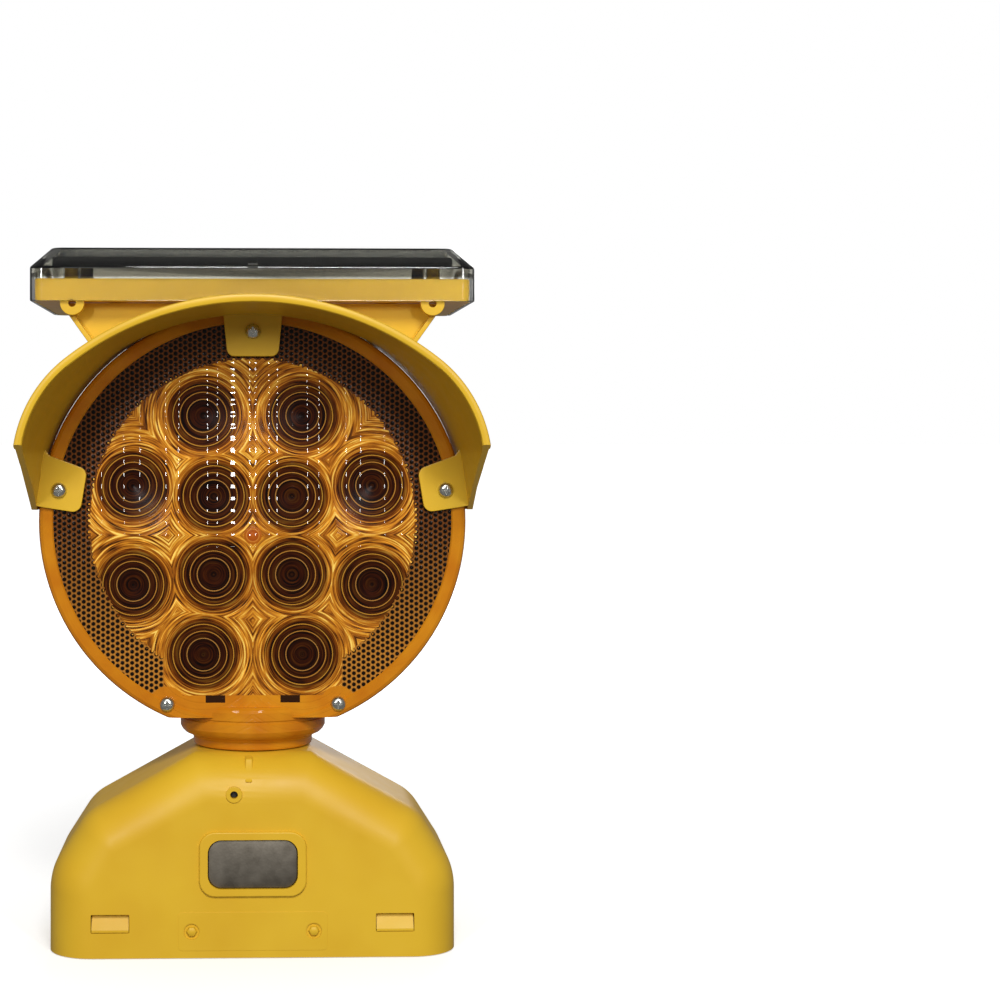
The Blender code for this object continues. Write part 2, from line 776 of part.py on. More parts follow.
def hood_at(y, inset):
    """The hood's outline at y. It narrows evenly from its front edge to its back edge."""
    share = (y - HOOD_FRONT) / (HOOD_BACK - HOOD_FRONT)
    line = []
    for x, z in hood_outline(inset):
        back = min(HOOD_BACK_SCALE, (HOOD_BACK_R - inset) / math.hypot(x, z))
        scale = 1 - share * (1 - back)
        line.append((x * scale, LENS_Z + z * scale))
    return line


def hood_ring(y, outer, inner):
    outside, inside = hood_at(y, outer), hood_at(y, inner)
    return [(x, y, z) for x, z in [*outside, *reversed(inside)]]


def build_visor(plastic, parent):
    bead = 0.7 * MM
    stations = (
        (HOOD_FRONT, 0.9 * MM, HOOD_WALL - 0.1 * MM),
        (HOOD_FRONT + 0.8 * MM, 0.0, HOOD_WALL + bead),
        (HOOD_FRONT + 3.6 * MM, 0.0, HOOD_WALL + bead),
        (HOOD_FRONT + 4.6 * MM, 0.6 * MM, HOOD_WALL + 0.3 * MM),
        (HOOD_BACK, 0.6 * MM, HOOD_WALL + 0.3 * MM),
    )
    visor = make(
        "visor_bracket", loft([hood_ring(*station) for station in stations]), plastic, parent
    )
    inner = hood_at(-40.0 * MM, 1.8 * MM)
    under = [(x, z) for x, z in inner if abs(x) < 67.0 * MM]
    top = BOX_LOW - GAP
    foot = (69.0 * MM, 267.2 * MM)
    web = [(WEB_HALF, top), foot, *under, (-foot[0], foot[1]), (-WEB_HALF, top)]
    joined = [prism(web, *WEB_Y)]
    for side in (-1, 1):
        edge = [
            (side * WEB_HALF, top),
            (side * foot[0], foot[1]),
            (side * (foot[0] - 1.7 * MM), foot[1] + 1.3 * MM),
            (side * (WEB_HALF - 2.4 * MM), top),
        ]
        joined.append(prism(edge, *GUSSET_Y))
    joined.append(rods(TRAY_SCREWS, 4.2 * MM, 279.0 * MM, top, "Z", 12))
    tab_back = -LENS_HALF - GAP
    tab_front = tab_back - TAB_THICK
    top_tab = rounded(
        [
            (13.5, 287.0, 0.0),
            (-13.5, 287.0, 0.0),
            (-11.4, 266.2, 3.6),
            (11.4, 266.2, 3.6),
        ]
    )
    joined.append(prism([(u * MM, v * MM) for u, v in top_tab], tab_front, tab_back))
    for side in (-1, 1):
        ear = rounded(
            [
                (side * 98.6, 227.0, 0.0),
                (side * 91.6, 222.0, 0.0),
                (side * 74.0, 215.4, 4.0),
                (side * 77.2, 196.0, 4.0),
                (side * 94.0, 198.6, 0.0),
                (side * 98.8, 199.6, 0.0),
            ]
        )
        joined.append(prism([(u * MM, v * MM) for u, v in ear], tab_front, tab_back))
    slope = [(-95.0, 230.1), (-95.0, 150.0), (-20.0, 150.0), (-20.0, 194.2)]
    ends = prism([(u * MM, v * MM) for u, v in slope], -0.12, 0.12, "X")
    beside = rods([(0, LENS_Z)], LENS_ROOM_R, -LENS_HALF - GAP, 10.0 * MM, sides=48)
    combine(visor, "DIFFERENCE", ends, beside)
    combine(visor, "UNION", *joined)
    holes = [(x * MM, z * MM) for _, x, z, tab in LENS_SCREWS if tab]
    combine(visor, "DIFFERENCE", rods(holes, BORE_R, -36.0 * MM, -26.0 * MM, sides=12))
    combine(visor, "DIFFERENCE", rods(TRAY_SCREWS, PILOT_R, 281.0 * MM, 292.0 * MM, "Z", 8))


# ---------------------------------------------------------------------------------------------
# Solar box


def box_outline(inset, radius):
    return rectangle(
        -BOX_HALF + inset, BOX_FRONT + inset, BOX_HALF - inset, BOX_BACK - inset, radius, 3
    )


def chamfered_box(inset, low, shoulder, top):
    """The cover's form: straight sides, then a wide chamfer up to a flat top."""
    chamfer = BOX_TOP - BOX_CHAMFER_Z
    levels = ((low, inset, 6.0 * MM - inset), (shoulder, inset, 6.0 * MM - inset))
    levels += ((top, inset + chamfer, 1.0 * MM),)
    rings = []
    for z, inward, radius in levels:
        rings.append([(x, y, z) for x, y in box_outline(inward, radius)])
    return loft(rings)


def build_solar(plastic, clear, silicon, rubber, steel, parent):
    cover = make(
        "solar_cover",
        chamfered_box(0.0, BOX_LOW, BOX_CHAMFER_Z, BOX_TOP),
        clear,
        parent,
    )
    combine(
        cover,
        "DIFFERENCE",
        chamfered_box(
            COVER_WALL,
            BOX_LOW - 2.0 * MM,
            BOX_CHAMFER_Z - 0.8 * MM,
            BOX_TOP - COVER_WALL,
        ),
    )
    inset = COVER_WALL + GAP
    tray = make(
        "solar_tray",
        prism(box_outline(inset, 4.0 * MM), BOX_LOW, TRAY_TOP, "Z"),
        plastic,
        parent,
    )
    hollow = prism(box_outline(inset + 2.0 * MM, 2.0 * MM), BOX_LOW + 2.2 * MM, TRAY_TOP + 0.01, "Z")
    combine(tray, "DIFFERENCE", hollow)
    ears = [(side * EAR_X, EAR_Z) for side in (-1, 1)]
    wall = BOX_FRONT + inset
    posts = [(x * 80.0 * MM, y) for x in (-1, 1) for y in (-40.0 * MM, 45.0 * MM)]
    lead = [(LEAD_X, LEAD_Y)]
    combine(
        tray,
        "UNION",
        rods(ears, EAR_R, wall, wall + 4.0 * MM),
        rods(posts, 3.0 * MM, BOX_LOW + 1.0 * MM, PANEL_Z - GAP, "Z", 12),
    )
    combine(
        tray,
        "DIFFERENCE",
        rods(ears, 1.7 * MM, wall - 2.0 * MM, wall + 6.0 * MM, sides=12),
        rods(lead, 3.9 * MM, BOX_LOW - 2.0 * MM, BOX_LOW + 4.0 * MM, "Z", 12),
        rods(TRAY_SCREWS, 1.6 * MM, BOX_LOW - 2.0 * MM, BOX_LOW + 4.0 * MM, "Z", 8),
    )
    make(
        "solar_panel",
        prism(
            rectangle(-88.0 * MM, -45.5 * MM, 88.0 * MM, 50.5 * MM), PANEL_Z, PANEL_Z + 2.6 * MM, "Z"
        ),
        silicon,
        parent,
        smooth=False,
    )
    sleeve = [
        (1.9 * MM, 288.9 * MM),
        (3.6 * MM, 288.9 * MM),
        (3.6 * MM, 292.6 * MM),
        (1.9 * MM, 292.6 * MM),
    ]
    grommet = make("lead_grommet", turned(sleeve, 12), rubber, parent)
    grommet.location = (LEAD_X, LEAD_Y, 0)
    for side, (x, y) in zip(("left", "right"), TRAY_SCREWS):
        screw = make(f"solar_tray_screw_{side}", small_screw(), steel, parent)
        screw.location = (x, y, BOX_LOW + 2.2 * MM + GAP)
        screw.rotation_euler.x = -math.pi / 2


# ---------------------------------------------------------------------------------------------
# Leads


def lead(name, route, radius, material, parent):
    """A lead along a smooth curve through the points of its route."""
    spine = bpy.data.curves.new(name, "CURVE")
    spine.dimensions = "3D"
    spine.bevel_depth = radius
    spine.bevel_resolution = 1
    spine.use_fill_caps = True
    path = spine.splines.new("POLY")
    points = [Vector(point) * MM for point in route]
    smooth = []
    padded = [points[0], *points, points[-1]]
    for index in range(1, len(padded) - 2):
        before, here, after, beyond = padded[index - 1 : index + 3]
        for step in range(4):
            t = step / 4
            smooth.append(
                here
                + (after - before) * 0.5 * t
                + (before * 2 - here * 5 + after * 4 - beyond) * 0.5 * t * t
                + (here * 3 - before - after * 3 + beyond) * 0.5 * t * t * t
            )
    smooth.append(points[-1])
    path.points.add(len(smooth) - 1)
    for target, point in zip(path.points, smooth):
        target.co = (*point, 1.0)
    spine.materials.append(material)
    piece = bpy.data.objects.new(name, spine)
    piece.parent = parent
    bpy.context.collection.objects.link(piece)
    return piece


def build_leads(black, parent):
    lamp = [(0, -11.0, 143), (0, -6.5, 134), (0, -1.5, 126), (0, 0, 116), (0, 0, 104), (0, 0, 62.6)]
    lead("lamp_lead", lamp, 1.8 * MM, black, parent)
    make("lead_plug", rods([(0, 0)], 5.0 * MM, 50.0 * MM, 62.3 * MM, "Z"), black, parent)
    x, y = LEAD_X / MM, LEAD_Y / MM
    solar = [(x, y, 300), (x, y, 291), (x, y, 280), (x, y, 270), (x, 6, 262), (x, -4, 256)]
    lead("solar_lead", [*solar, (x, -11, 253)], 1.4 * MM, black, parent)


# ---------------------------------------------------------------------------------------------


def main():
    for piece in list(bpy.data.objects):
        bpy.data.objects.remove(piece)
    yellow = finish("yellow_polypropylene", (0.69, 0.42, 0.03), 0.42)
    hood_yellow = finish("yellow_visor_plastic", (0.69, 0.42, 0.03), 0.42)
    amber = finish("amber_polycarbonate", (0.76, 0.24, 0.01), 0.1, alpha=0.6)
    clear = finish("smoked_clear_polycarbonate", (0.25, 0.25, 0.23), 0.08, alpha=0.5)
    silicon = finish("solar_cells", (0.01, 0.012, 0.02), 0.2)
    steel = finish("galvanised_steel", (0.24, 0.23, 0.21), 0.45, 1.0)
    zinc = finish("zinc_plated_screw", (0.6, 0.6, 0.58), 0.3, 1.0)
    board = finish("circuit_board", (0.03, 0.12, 0.05), 0.5)
    lamp = finish("led_epoxy", (0.85, 0.6, 0.2), 0.15)
    black = finish("black_plastic", (0.02, 0.02, 0.02), 0.5)
    rubber = finish("black_rubber", (0.02, 0.02, 0.02), 0.8)
    sleeve = finish("cell_sleeve", (0.1, 0.1, 0.11), 0.35)
    head = empty("lens_swivel_axis")
    tray = empty("tray_slide_axis")
    build_case(yellow)
    build_case_fittings(steel, board, black)
    build_tray(yellow, steel, sleeve, tray)
    build_lens_half("front_lens", -1, amber, head)
    build_lens_half("back_lens", 1, amber, head)
    build_light_engine(rubber, board, lamp, black, steel, head)
    build_lens_screws(zinc, head)
    build_visor(hood_yellow, head)
    build_solar(hood_yellow, clear, silicon, rubber, steel, head)
    build_leads(black, head)


main()
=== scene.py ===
"""Barricade warning light: an amber LED lens on a yellow battery case, with visor and solar box."""

import json
import math

import bpy
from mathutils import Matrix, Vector


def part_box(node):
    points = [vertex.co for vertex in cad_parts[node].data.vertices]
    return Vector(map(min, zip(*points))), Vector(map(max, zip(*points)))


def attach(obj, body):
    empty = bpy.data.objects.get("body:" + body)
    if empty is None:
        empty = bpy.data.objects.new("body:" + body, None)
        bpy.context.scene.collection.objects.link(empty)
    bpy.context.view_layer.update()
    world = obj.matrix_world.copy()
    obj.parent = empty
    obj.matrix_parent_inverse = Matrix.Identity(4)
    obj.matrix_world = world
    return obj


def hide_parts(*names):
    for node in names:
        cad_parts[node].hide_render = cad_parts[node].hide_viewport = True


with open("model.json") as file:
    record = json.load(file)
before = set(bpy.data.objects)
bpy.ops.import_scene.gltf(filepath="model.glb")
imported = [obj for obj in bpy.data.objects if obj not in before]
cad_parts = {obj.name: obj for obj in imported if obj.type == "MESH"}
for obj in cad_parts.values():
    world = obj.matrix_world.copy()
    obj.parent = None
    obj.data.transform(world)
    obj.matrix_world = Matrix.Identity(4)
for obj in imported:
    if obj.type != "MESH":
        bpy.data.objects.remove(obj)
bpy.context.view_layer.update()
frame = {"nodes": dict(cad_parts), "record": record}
MM = 0.001


def middle(node):
    """The centre of a CAD node's box."""
    low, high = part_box(node)
    return (Vector(low) + Vector(high)) / 2


LENS_Z = middle("led_board").z
ARRAY_Z = middle("photocell").z
PLATE_Z = middle("anchor_plate").z
SWITCH = middle("switch_plunger")
COVER_LOW, COVER_HIGH = (Vector(corner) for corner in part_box("solar_cover"))
CASE_FRONT, CASE_BACK = -43.0 * MM, 43.0 * MM
LENS_SCREWS = ("top", "left", "right", "lower_left", "lower_right")
RING_START, RING_END = 73.2 * MM, 89.4 * MM  # the reflex ring of the lens
LENS_CHORD = 114.0 * MM  # the level edge where the optics end above the collar
CELL, PRISM = 2.5 * MM, 3.1 * MM  # pitch of the corner cubes and of the prism rings
DASH_WIDE, DASH_TALL = 18.0 * MM, 5.4 * MM  # pitch of the pillows on the lens face
SCREW_BORE = 2.35 * MM  # radius of the lens screws' holes
POST_X, POST_Y = 60.0 * MM, -37.0 * MM  # the two posts that the solar tray is screwed to
EAR_X, EAR_Z = 78.8 * MM, 288.6 * MM  # the two holed ears of the solar tray
BUMP_X, BUMP_Z = 27.0 * MM, 11.7 * MM  # the two hex bumps of the case

# ---------------------------------------------------------------------------------------------
# Materials


def shade_of(code):
    """An sRGB hex code as the linear colour that a shader takes."""
    values = [int(code[place : place + 2], 16) / 255 for place in (0, 2, 4)]
    linear = [v / 12.92 if v <= 0.04045 else ((v + 0.055) / 1.055) ** 2.4 for v in values]
    return (*linear, 1.0)


def add(tree, kind, links=(), **settings):
    """Adds a node with its settings; links are (input, value or socket) pairs."""
    made = tree.nodes.new("ShaderNode" + kind)
    for key, value in settings.items():
        setattr(made, key, value)
    for key, value in links:
        if isinstance(value, bpy.types.Node):
            value = value.outputs[0]
        if isinstance(value, bpy.types.NodeSocket):
            tree.links.new(value, made.inputs[key])
        else:
            made.inputs[key].default_value = value
    return made


def sum_of(tree, operation, *values):
    """A Math node of one, two or three values."""
    return add(tree, "Math", tuple(enumerate(values)), operation=operation)


def ramp_of(tree, value, stops):
    """A colour ramp whose stops are (place, hex code) pairs."""
    ramp = add(tree, "ValToRGB", ((0, value),))
    while len(ramp.color_ramp.elements) < len(stops):
        ramp.color_ramp.elements.new(1.0)
    for element, (place, code) in zip(ramp.color_ramp.elements, stops):
        element.position = place
        element.color = shade_of(code)
    return ramp


def blend_of(tree, share, one, two, how="MIX"):
    """A colour blend of two colours, which may be sockets or hex codes."""
    pair = [shade_of(item) if isinstance(item, str) else item for item in (one, two)]
    return add(
        tree, "MixRGB", ((0, share), (1, pair[0]), (2, pair[1])), blend_type=how
    )


def start(name, **values):
    """A new material with a Principled shader: the material, its tree and the shader."""
    made = bpy.data.materials.new(name)
    made.use_nodes = True
    shader = made.node_tree.nodes["Principled BSDF"]
    for key, value in values.items():
        shader.inputs[key.replace("_", " ")].default_value = value
    return made, made.node_tree, shader


def noise_at(tree, place, scale, detail=2.0):
    return add(tree, "TexNoise", (("Vector", place), ("Scale", scale), ("Detail", detail)))


def relief(tree, shader, height, strength, distance, socket="Normal"):
    """Bumps the shader by a height; distance is the height of 1 in metres."""
    bump = add(tree, "Bump", (("Height", height), ("Strength", strength), ("Distance", distance)))
    tree.links.new(bump.outputs[0], shader.inputs[socket])


def span_of(tree, value, low, high):
    """A noise between 0 and 1 spread over low to high."""
    return add(tree, "MapRange", (("Value", value), ("To Min", low), ("To Max", high)))


def moulded_polypropylene(name, light, dark, gloss):
    """Yellow polypropylene from a spark-eroded mould: satin, faintly clouded, finely grained."""
    made, tree, shader = start(name, IOR=1.49)
    shader.inputs["Specular IOR Level"].default_value = 0.3
    place = add(tree, "TexCoord").outputs["Object"]
    # Clouds of 45 mm, where the pigment flowed unevenly.
    colour = ramp_of(tree, noise_at(tree, place, 22.0, 3.0), ((0.35, dark), (0.65, light)))
    tree.links.new(colour.outputs[0], shader.inputs["Base Color"])
    # Handling marks of 8 mm change only the gloss.
    rough = span_of(tree, noise_at(tree, place, 120.0, 4.0), gloss - 0.08, gloss + 0.1)
    tree.links.new(rough.outputs[0], shader.inputs["Roughness"])
    # Grain of 0.9 mm, coarser than the real 0.3 mm so that it shows, on 30 mm waves of sinking.
    grain = noise_at(tree, place, 1100.0)
    height = sum_of(tree, "MULTIPLY_ADD", noise_at(tree, place, 33.0, 1.0), 6.0, grain)
    relief(tree, shader, height, 0.3, 0.00006)
    return made


def optic_distance(tree, x, z):
    """Distance in metres from the nearest of the twelve optics, 8 in one ring and 4 in another."""
    square = sum_of(tree, "MULTIPLY", z, z)
    radius = sum_of(tree, "SQRT", sum_of(tree, "MULTIPLY_ADD", x, x, square))
    angle = sum_of(tree, "ARCTAN2", z, x)
    found = []
    for count, ring, first in ((8, 58.0 * MM, 22.5), (4, 24.8 * MM, 45.0)):
        turned = sum_of(tree, "SUBTRACT", angle, math.radians(first))
        folded = sum_of(tree, "PINGPONG", turned, math.pi / count)
        along = sum_of(tree, "MULTIPLY", sum_of(tree, "COSINE", folded), radius)
        across = sum_of(tree, "MULTIPLY", sum_of(tree, "SINE", folded), radius)
        gap = sum_of(tree, "SUBTRACT", along, ring)
        square = sum_of(tree, "MULTIPLY", across, across)
        found.append(sum_of(tree, "SQRT", sum_of(tree, "MULTIPLY_ADD", gap, gap, square)))
    return sum_of(tree, "MINIMUM", *found)


def honeycomb(tree, x, z, pitch):
    """About -1.5 to 3 on a triangular lattice: three plane waves, 60 degrees apart."""
    total = 0.0
    for angle in (0, 60, 120):
        turn = math.radians(angle)
        wave = 4 * math.pi / (math.sqrt(3) * pitch)
        part = sum_of(tree, "MULTIPLY", x, wave * math.cos(turn))
        part = sum_of(tree, "MULTIPLY_ADD", z, wave * math.sin(turn), part)
        total = sum_of(tree, "ADD", sum_of(tree, "COSINE", part), total)
    return total


def amber_polycarbonate(name, optics):
    """Clear amber polycarbonate. The front half has prism rings before each LED, the back half
    one set of rings, and both have a reflex ring of corner cubes and a polished plain rim."""
    made, tree, shader = start(
        name, IOR=1.58, Roughness=0.2, Coat_Weight=0.3, Coat_Roughness=0.03, Coat_IOR=1.45
    )
    shader.inputs["Specular IOR Level"].default_value = 0.06
    place = add(tree, "TexCoord").outputs["Object"]
    split = add(tree, "SeparateXYZ", ((0, place),))
    x, z = split.outputs[0], split.outputs[2]
    flat = add(tree, "CombineXYZ", ((0, x), (2, sum_of(tree, "SUBTRACT", z, LENS_Z))))
    radius = add(tree, "VectorMath", ((0, flat),), operation="LENGTH").outputs["Value"]
    if optics:
        distance = optic_distance(tree, x, sum_of(tree, "SUBTRACT", z, ARRAY_Z))
    else:
        distance = sum_of(tree, "MULTIPLY_ADD", radius, 0.16, 8.0 * MM)
    rings = sum_of(tree, "MULTIPLY", distance, 1.0 if optics else 6.0)
    # A dark eye over each LED, seen through prism rings that clear outward; 1 is 25 mm out.
    out = sum_of(tree, "MULTIPLY", distance, 40.0)
    eye = ramp_of(
        tree,
        out,
        (
            (0.0, "30200E"),
            (0.18, "4A3014"),
            (0.27, "2A1A0A"),
            (0.36, "4E3418"),
            (0.42, "362210"),
            (0.5, "6E5636"),
            (0.56, "4A3620"),
            (0.66, "B8A080"),
            (0.74, "FFFFFF"),
        ),
    )
    # Painted highlights: the crests of the rings are painted as lit lines half a millimetre wide.
    stops = []
    for spot, code, half in (
        (0.295, "BE8840", 0.011),
        (0.423, "C88C38", 0.011),
        (0.546, "CE9634", 0.011),
        (0.665, "B88028", 0.01),
        (0.8, "A06C20", 0.01),
    ):
        stops += [(spot - half, "000000"), (spot, code), (spot + half, "000000")]
    crest_highlights = ramp_of(tree, out, stops)
    # Streaks along the rings, painted from dark brown to golden glints: partly the amber's own
    # tone, mostly painted light refracted and glinting through the prisms. The noise changes every
    # 0.8 mm outward and every 13 mm along.
    streak_place = add(
        tree,
        "CombineXYZ",
        (
            (0, sum_of(tree, "MULTIPLY", rings, 1300.0)),
            (1, sum_of(tree, "MULTIPLY", x, 75.0)),
            (2, sum_of(tree, "MULTIPLY", z, 75.0)),
        ),
    )
    streak = noise_at(tree, streak_place, 1.0, 3.0)
    # Painted glints: the bright end of this ramp is light, not the colour of the plastic.
    gold = ramp_of(
        tree,
        streak,
        ((0.32, "2E1705"), (0.42, "8A4C10"), (0.5, "BA701A"), (0.58, "DA952A"), (0.67, "FFD667")),
    )
    lit = blend_of(tree, 1.0, blend_of(tree, 1.0, gold, eye, "MULTIPLY"), crest_highlights, "ADD")
    # Corner cubes on a 2.5 mm lattice: black cells in a net that is painted brown above, as the
    # visor's shade, and golden low down, as painted light.
    cells = honeycomb(tree, x, z, CELL)
    net = sum_of(tree, "MULTIPLY_ADD", cells, 0.22, 0.33)
    shaded_brown_net = ramp_of(tree, net, ((0.05, "6E3E18"), (0.36, "0C0502")))
    lit_golden_net = ramp_of(tree, net, ((0.05, "BC7C2E"), (0.4, "120803")))
    # Painted shade and light: the net turns from shaded brown above 190 mm to lit golden below 130
    # mm.
    lower = add(tree, "MapRange", (("Value", z), ("From Min", 0.19), ("From Max", 0.13)))
    ring_colour = blend_of(tree, lower.outputs[0], shaded_brown_net, lit_golden_net)
    plain = ramp_of(tree, noise_at(tree, place, 60.0), ((0.3, "BC6C10"), (0.7, "CE8518")))
    # Between the two low screws the optics take the ring's place, down to a level edge.
    side = sum_of(tree, "ABSOLUTE", x)
    middle_low = sum_of(tree, "LESS_THAN", side, 0.04)
    middle_low = sum_of(tree, "MULTIPLY", middle_low, sum_of(tree, "LESS_THAN", z, 0.14))
    ragged = sum_of(tree, "MULTIPLY_ADD", cells, 0.35 * MM, RING_START)
    in_ring = sum_of(tree, "GREATER_THAN", radius, ragged)
    in_ring = sum_of(tree, "MULTIPLY", in_ring, sum_of(tree, "SUBTRACT", 1.0, middle_low))
    in_rim = sum_of(tree, "GREATER_THAN", radius, RING_END)
    in_rim = sum_of(tree, "MAXIMUM", in_rim, sum_of(tree, "LESS_THAN", z, LENS_CHORD))
    for screw in ("lower_left", "lower_right"):
        spot = middle(f"lens_screw_{screw}")
        boss = (spot.x, 0.0, spot.z - LENS_Z)
        away = add(tree, "VectorMath", ((0, flat), (1, boss)), operation="DISTANCE")
        near = sum_of(tree, "LESS_THAN", away.outputs["Value"], 8.0 * MM)
        in_rim = sum_of(tree, "MAXIMUM", in_rim, near)
    # Painted shade: two deep slots beside the collar are painted dark, for the shade inside them.
    slot_shade = sum_of(
        tree,
        "MULTIPLY",
        sum_of(tree, "COMPARE", side, 16.8 * MM, 4.4 * MM),
        sum_of(tree, "COMPARE", z, LENS_CHORD - 1.6 * MM, 1.7 * MM),
    )
    plain_zone = blend_of(tree, slot_shade, plain, "2E1605")
    colour = blend_of(tree, in_ring, lit, ring_colour)
    colour = blend_of(tree, in_rim, colour, plain_zone)
    if optics:
        # The moulding gate, a disc of 4 mm radius in the middle of the optics.
        hub = (0.0, 0.0, ARRAY_Z - LENS_Z)
        off = add(tree, "VectorMath", ((0, flat), (1, hub)), operation="DISTANCE").outputs["Value"]
        gate = ramp_of(
            tree,
            sum_of(tree, "MULTIPLY", off, 100.0),
            ((0.0, "B85C1A"), (0.24, "A04A10"), (0.28, "CC8030"), (0.32, "AC5C14")),
        )
        colour = blend_of(tree, sum_of(tree, "LESS_THAN", off, 4.0 * MM), colour, gate)
    tree.links.new(colour.outputs[0], shader.inputs["Base Color"])
    # Relief of the inner face: saw teeth over the optics, rippled outside the eyes, and cubes.
    phase = sum_of(tree, "FRACT", sum_of(tree, "MULTIPLY", rings, 1 / PRISM))
    tooth = sum_of(tree, "MULTIPLY", phase, 0.5 * MM)
    cube = sum_of(tree, "MULTIPLY", cells, 0.05 * MM)
    ring_share = sum_of(tree, "MULTIPLY", in_ring, sum_of(tree, "SUBTRACT", 1.0, in_rim))
    tooth = sum_of(tree, "MULTIPLY", tooth, sum_of(tree, "SUBTRACT", 1.0, in_ring))
    height = sum_of(tree, "MULTIPLY_ADD", cube, ring_share, tooth)
    clear_of_eye = add(tree, "MapRange", (("Value", out), ("From Min", 0.4), ("From Max", 0.8)))
    ripple = sum_of(tree, "MULTIPLY", streak, clear_of_eye.outputs[0])
    height = sum_of(tree, "MULTIPLY_ADD", ripple, 0.25 * MM, height)
    relief(tree, shader, height, 0.6, 1.0)
    # Outer face: low pillows, so that each strip of light shows as a column of dashes.
    wide = sum_of(tree, "SINE", sum_of(tree, "MULTIPLY", x, math.tau / DASH_WIDE))
    tall = sum_of(tree, "SINE", sum_of(tree, "MULTIPLY", z, math.tau / DASH_TALL))
    pillow = sum_of(tree, "MULTIPLY_ADD", tall, 0.11, sum_of(tree, "MULTIPLY", wide, 0.6))
    pillow = sum_of(tree, "MULTIPLY", pillow, sum_of(tree, "SUBTRACT", 1.0, in_ring))
    relief(tree, shader, pillow, 1.0, MM, "Coat Normal")
    return made


def clear_polycarbonate(name):
    """Clear polycarbonate, darker at the top and polished: seen through, with a mirror gloss. The
    darker top is partly a smoke tint and partly painted shade of the inside seen through it.
    """
    made, tree, shader = start(name, IOR=1.58, Roughness=0.04, Transmission_Weight=1.0)
    shader.inputs["Specular IOR Level"].default_value = 0.3
    place = add(tree, "TexCoord").outputs["Object"]
    # Dust and haze of 12 mm, faint.
    haze = noise_at(tree, place, 80.0, 4.0)
    # The skirt is clear, and a darker tint begins 14 mm under the upper face: partly smoke, partly
    # painted shade of the panel's edge and the inside, darkest in a band 13 mm down.
    height = add(tree, "SeparateXYZ", ((0, place),)).outputs[2]
    ends = (("From Min", COVER_HIGH.z - 16.0 * MM), ("From Max", COVER_HIGH.z - 6.0 * MM))
    share = add(tree, "MapRange", (("Value", height), *ends))
    smoke = ramp_of(
        tree, share.outputs[0], ((0.0, "FFFFFB"), (0.2, "FAFAF4"), (0.3, "8C897D"), (1.0, "A9A9A2"))
    )
    tree.links.new(smoke.outputs[0], shader.inputs["Base Color"])
    rough = span_of(tree, haze, 0.01, 0.06)
    tree.links.new(rough.outputs[0], shader.inputs["Roughness"])
    relief(tree, shader, noise_at(tree, place, 40.0, 1.0), 0.2, 0.0001)
    return made


def silicon_cells(name):
    """Monocrystalline cells under gloss: blue-black, with silver busbars and fine fingers."""
    made, tree, shader = start(name, IOR=1.5, Roughness=0.12, Coat_Weight=0.6)
    split = add(tree, "SeparateXYZ", ((0, add(tree, "TexCoord").outputs["Object"]),))
    x, y = split.outputs[0], split.outputs[1]
    # Cells of 29.3 mm by 48 mm; fingers 2 mm apart, and two busbars in each cell.
    gap_x = sum_of(tree, "PINGPONG", sum_of(tree, "ADD", x, 0.5), 0.01467)
    gap_y = sum_of(tree, "PINGPONG", sum_of(tree, "SUBTRACT", y, 0.0025), 0.024)
    joint = sum_of(
        tree,
        "MAXIMUM",
        sum_of(tree, "LESS_THAN", gap_x, 0.0007),
        sum_of(tree, "LESS_THAN", gap_y, 0.0007),
    )
    finger = sum_of(tree, "LESS_THAN", sum_of(tree, "PINGPONG", x, 0.001), 0.00012)
    off_bar = sum_of(tree, "ABSOLUTE", sum_of(tree, "SUBTRACT", gap_y, 0.012))
    bar = sum_of(tree, "COMPARE", off_bar, 0.0, 0.0006)
    silver = sum_of(tree, "MAXIMUM", bar, sum_of(tree, "MULTIPLY", finger, 0.35))
    base = ramp_of(
        tree,
        noise_at(tree, add(tree, "TexCoord").outputs["Object"], 50.0),
        ((0.3, "0B0E16"), (0.7, "141B2B")),
    )
    colour = blend_of(tree, silver, base, "A9ABAD")
    colour = blend_of(tree, joint, colour, "2A2C2E")
    tree.links.new(colour.outputs[0], shader.inputs["Base Color"])
    return made


def galvanised_steel(name, tone):
    """Hot-dip galvanised sheet: matt grey metal with spangle crystals of 3 to 6 mm."""
    made, tree, shader = start(name, Metallic=1.0)
    place = add(tree, "TexCoord").outputs["Object"]
    spangle = add(tree, "TexVoronoi", (("Vector", place), ("Scale", 260.0)))
    fine = noise_at(tree, place, 900.0, 6.0)
    cloud = noise_at(tree, place, 130.0, 6.0)
    mixed = blend_of(tree, 0.12, cloud.outputs[0], spangle.outputs["Color"])
    colour = ramp_of(tree, mixed, ((0.3, tone[0]), (0.7, tone[1])))
    tree.links.new(colour.outputs[0], shader.inputs["Base Color"])
    rough = span_of(tree, cloud, 0.4, 0.62)
    tree.links.new(rough.outputs[0], shader.inputs["Roughness"])
    relief(tree, shader, fine, 0.4, 0.0001)
    return made


def bright_zinc(name, tone):
    """Zinc-plated steel: bright, slightly blue, with fine plating mottle of 1 mm."""
    made, tree, shader = start(name, Metallic=1.0)
    place = add(tree, "TexCoord").outputs["Object"]
    mottle = noise_at(tree, place, 1000.0, 4.0)
    colour = ramp_of(tree, mottle, ((0.3, tone[0]), (0.7, tone[1])))
    tree.links.new(colour.outputs[0], shader.inputs["Base Color"])
    rough = span_of(tree, mottle, 0.16, 0.36)
    tree.links.new(rough.outputs[0], shader.inputs["Roughness"])
    return made


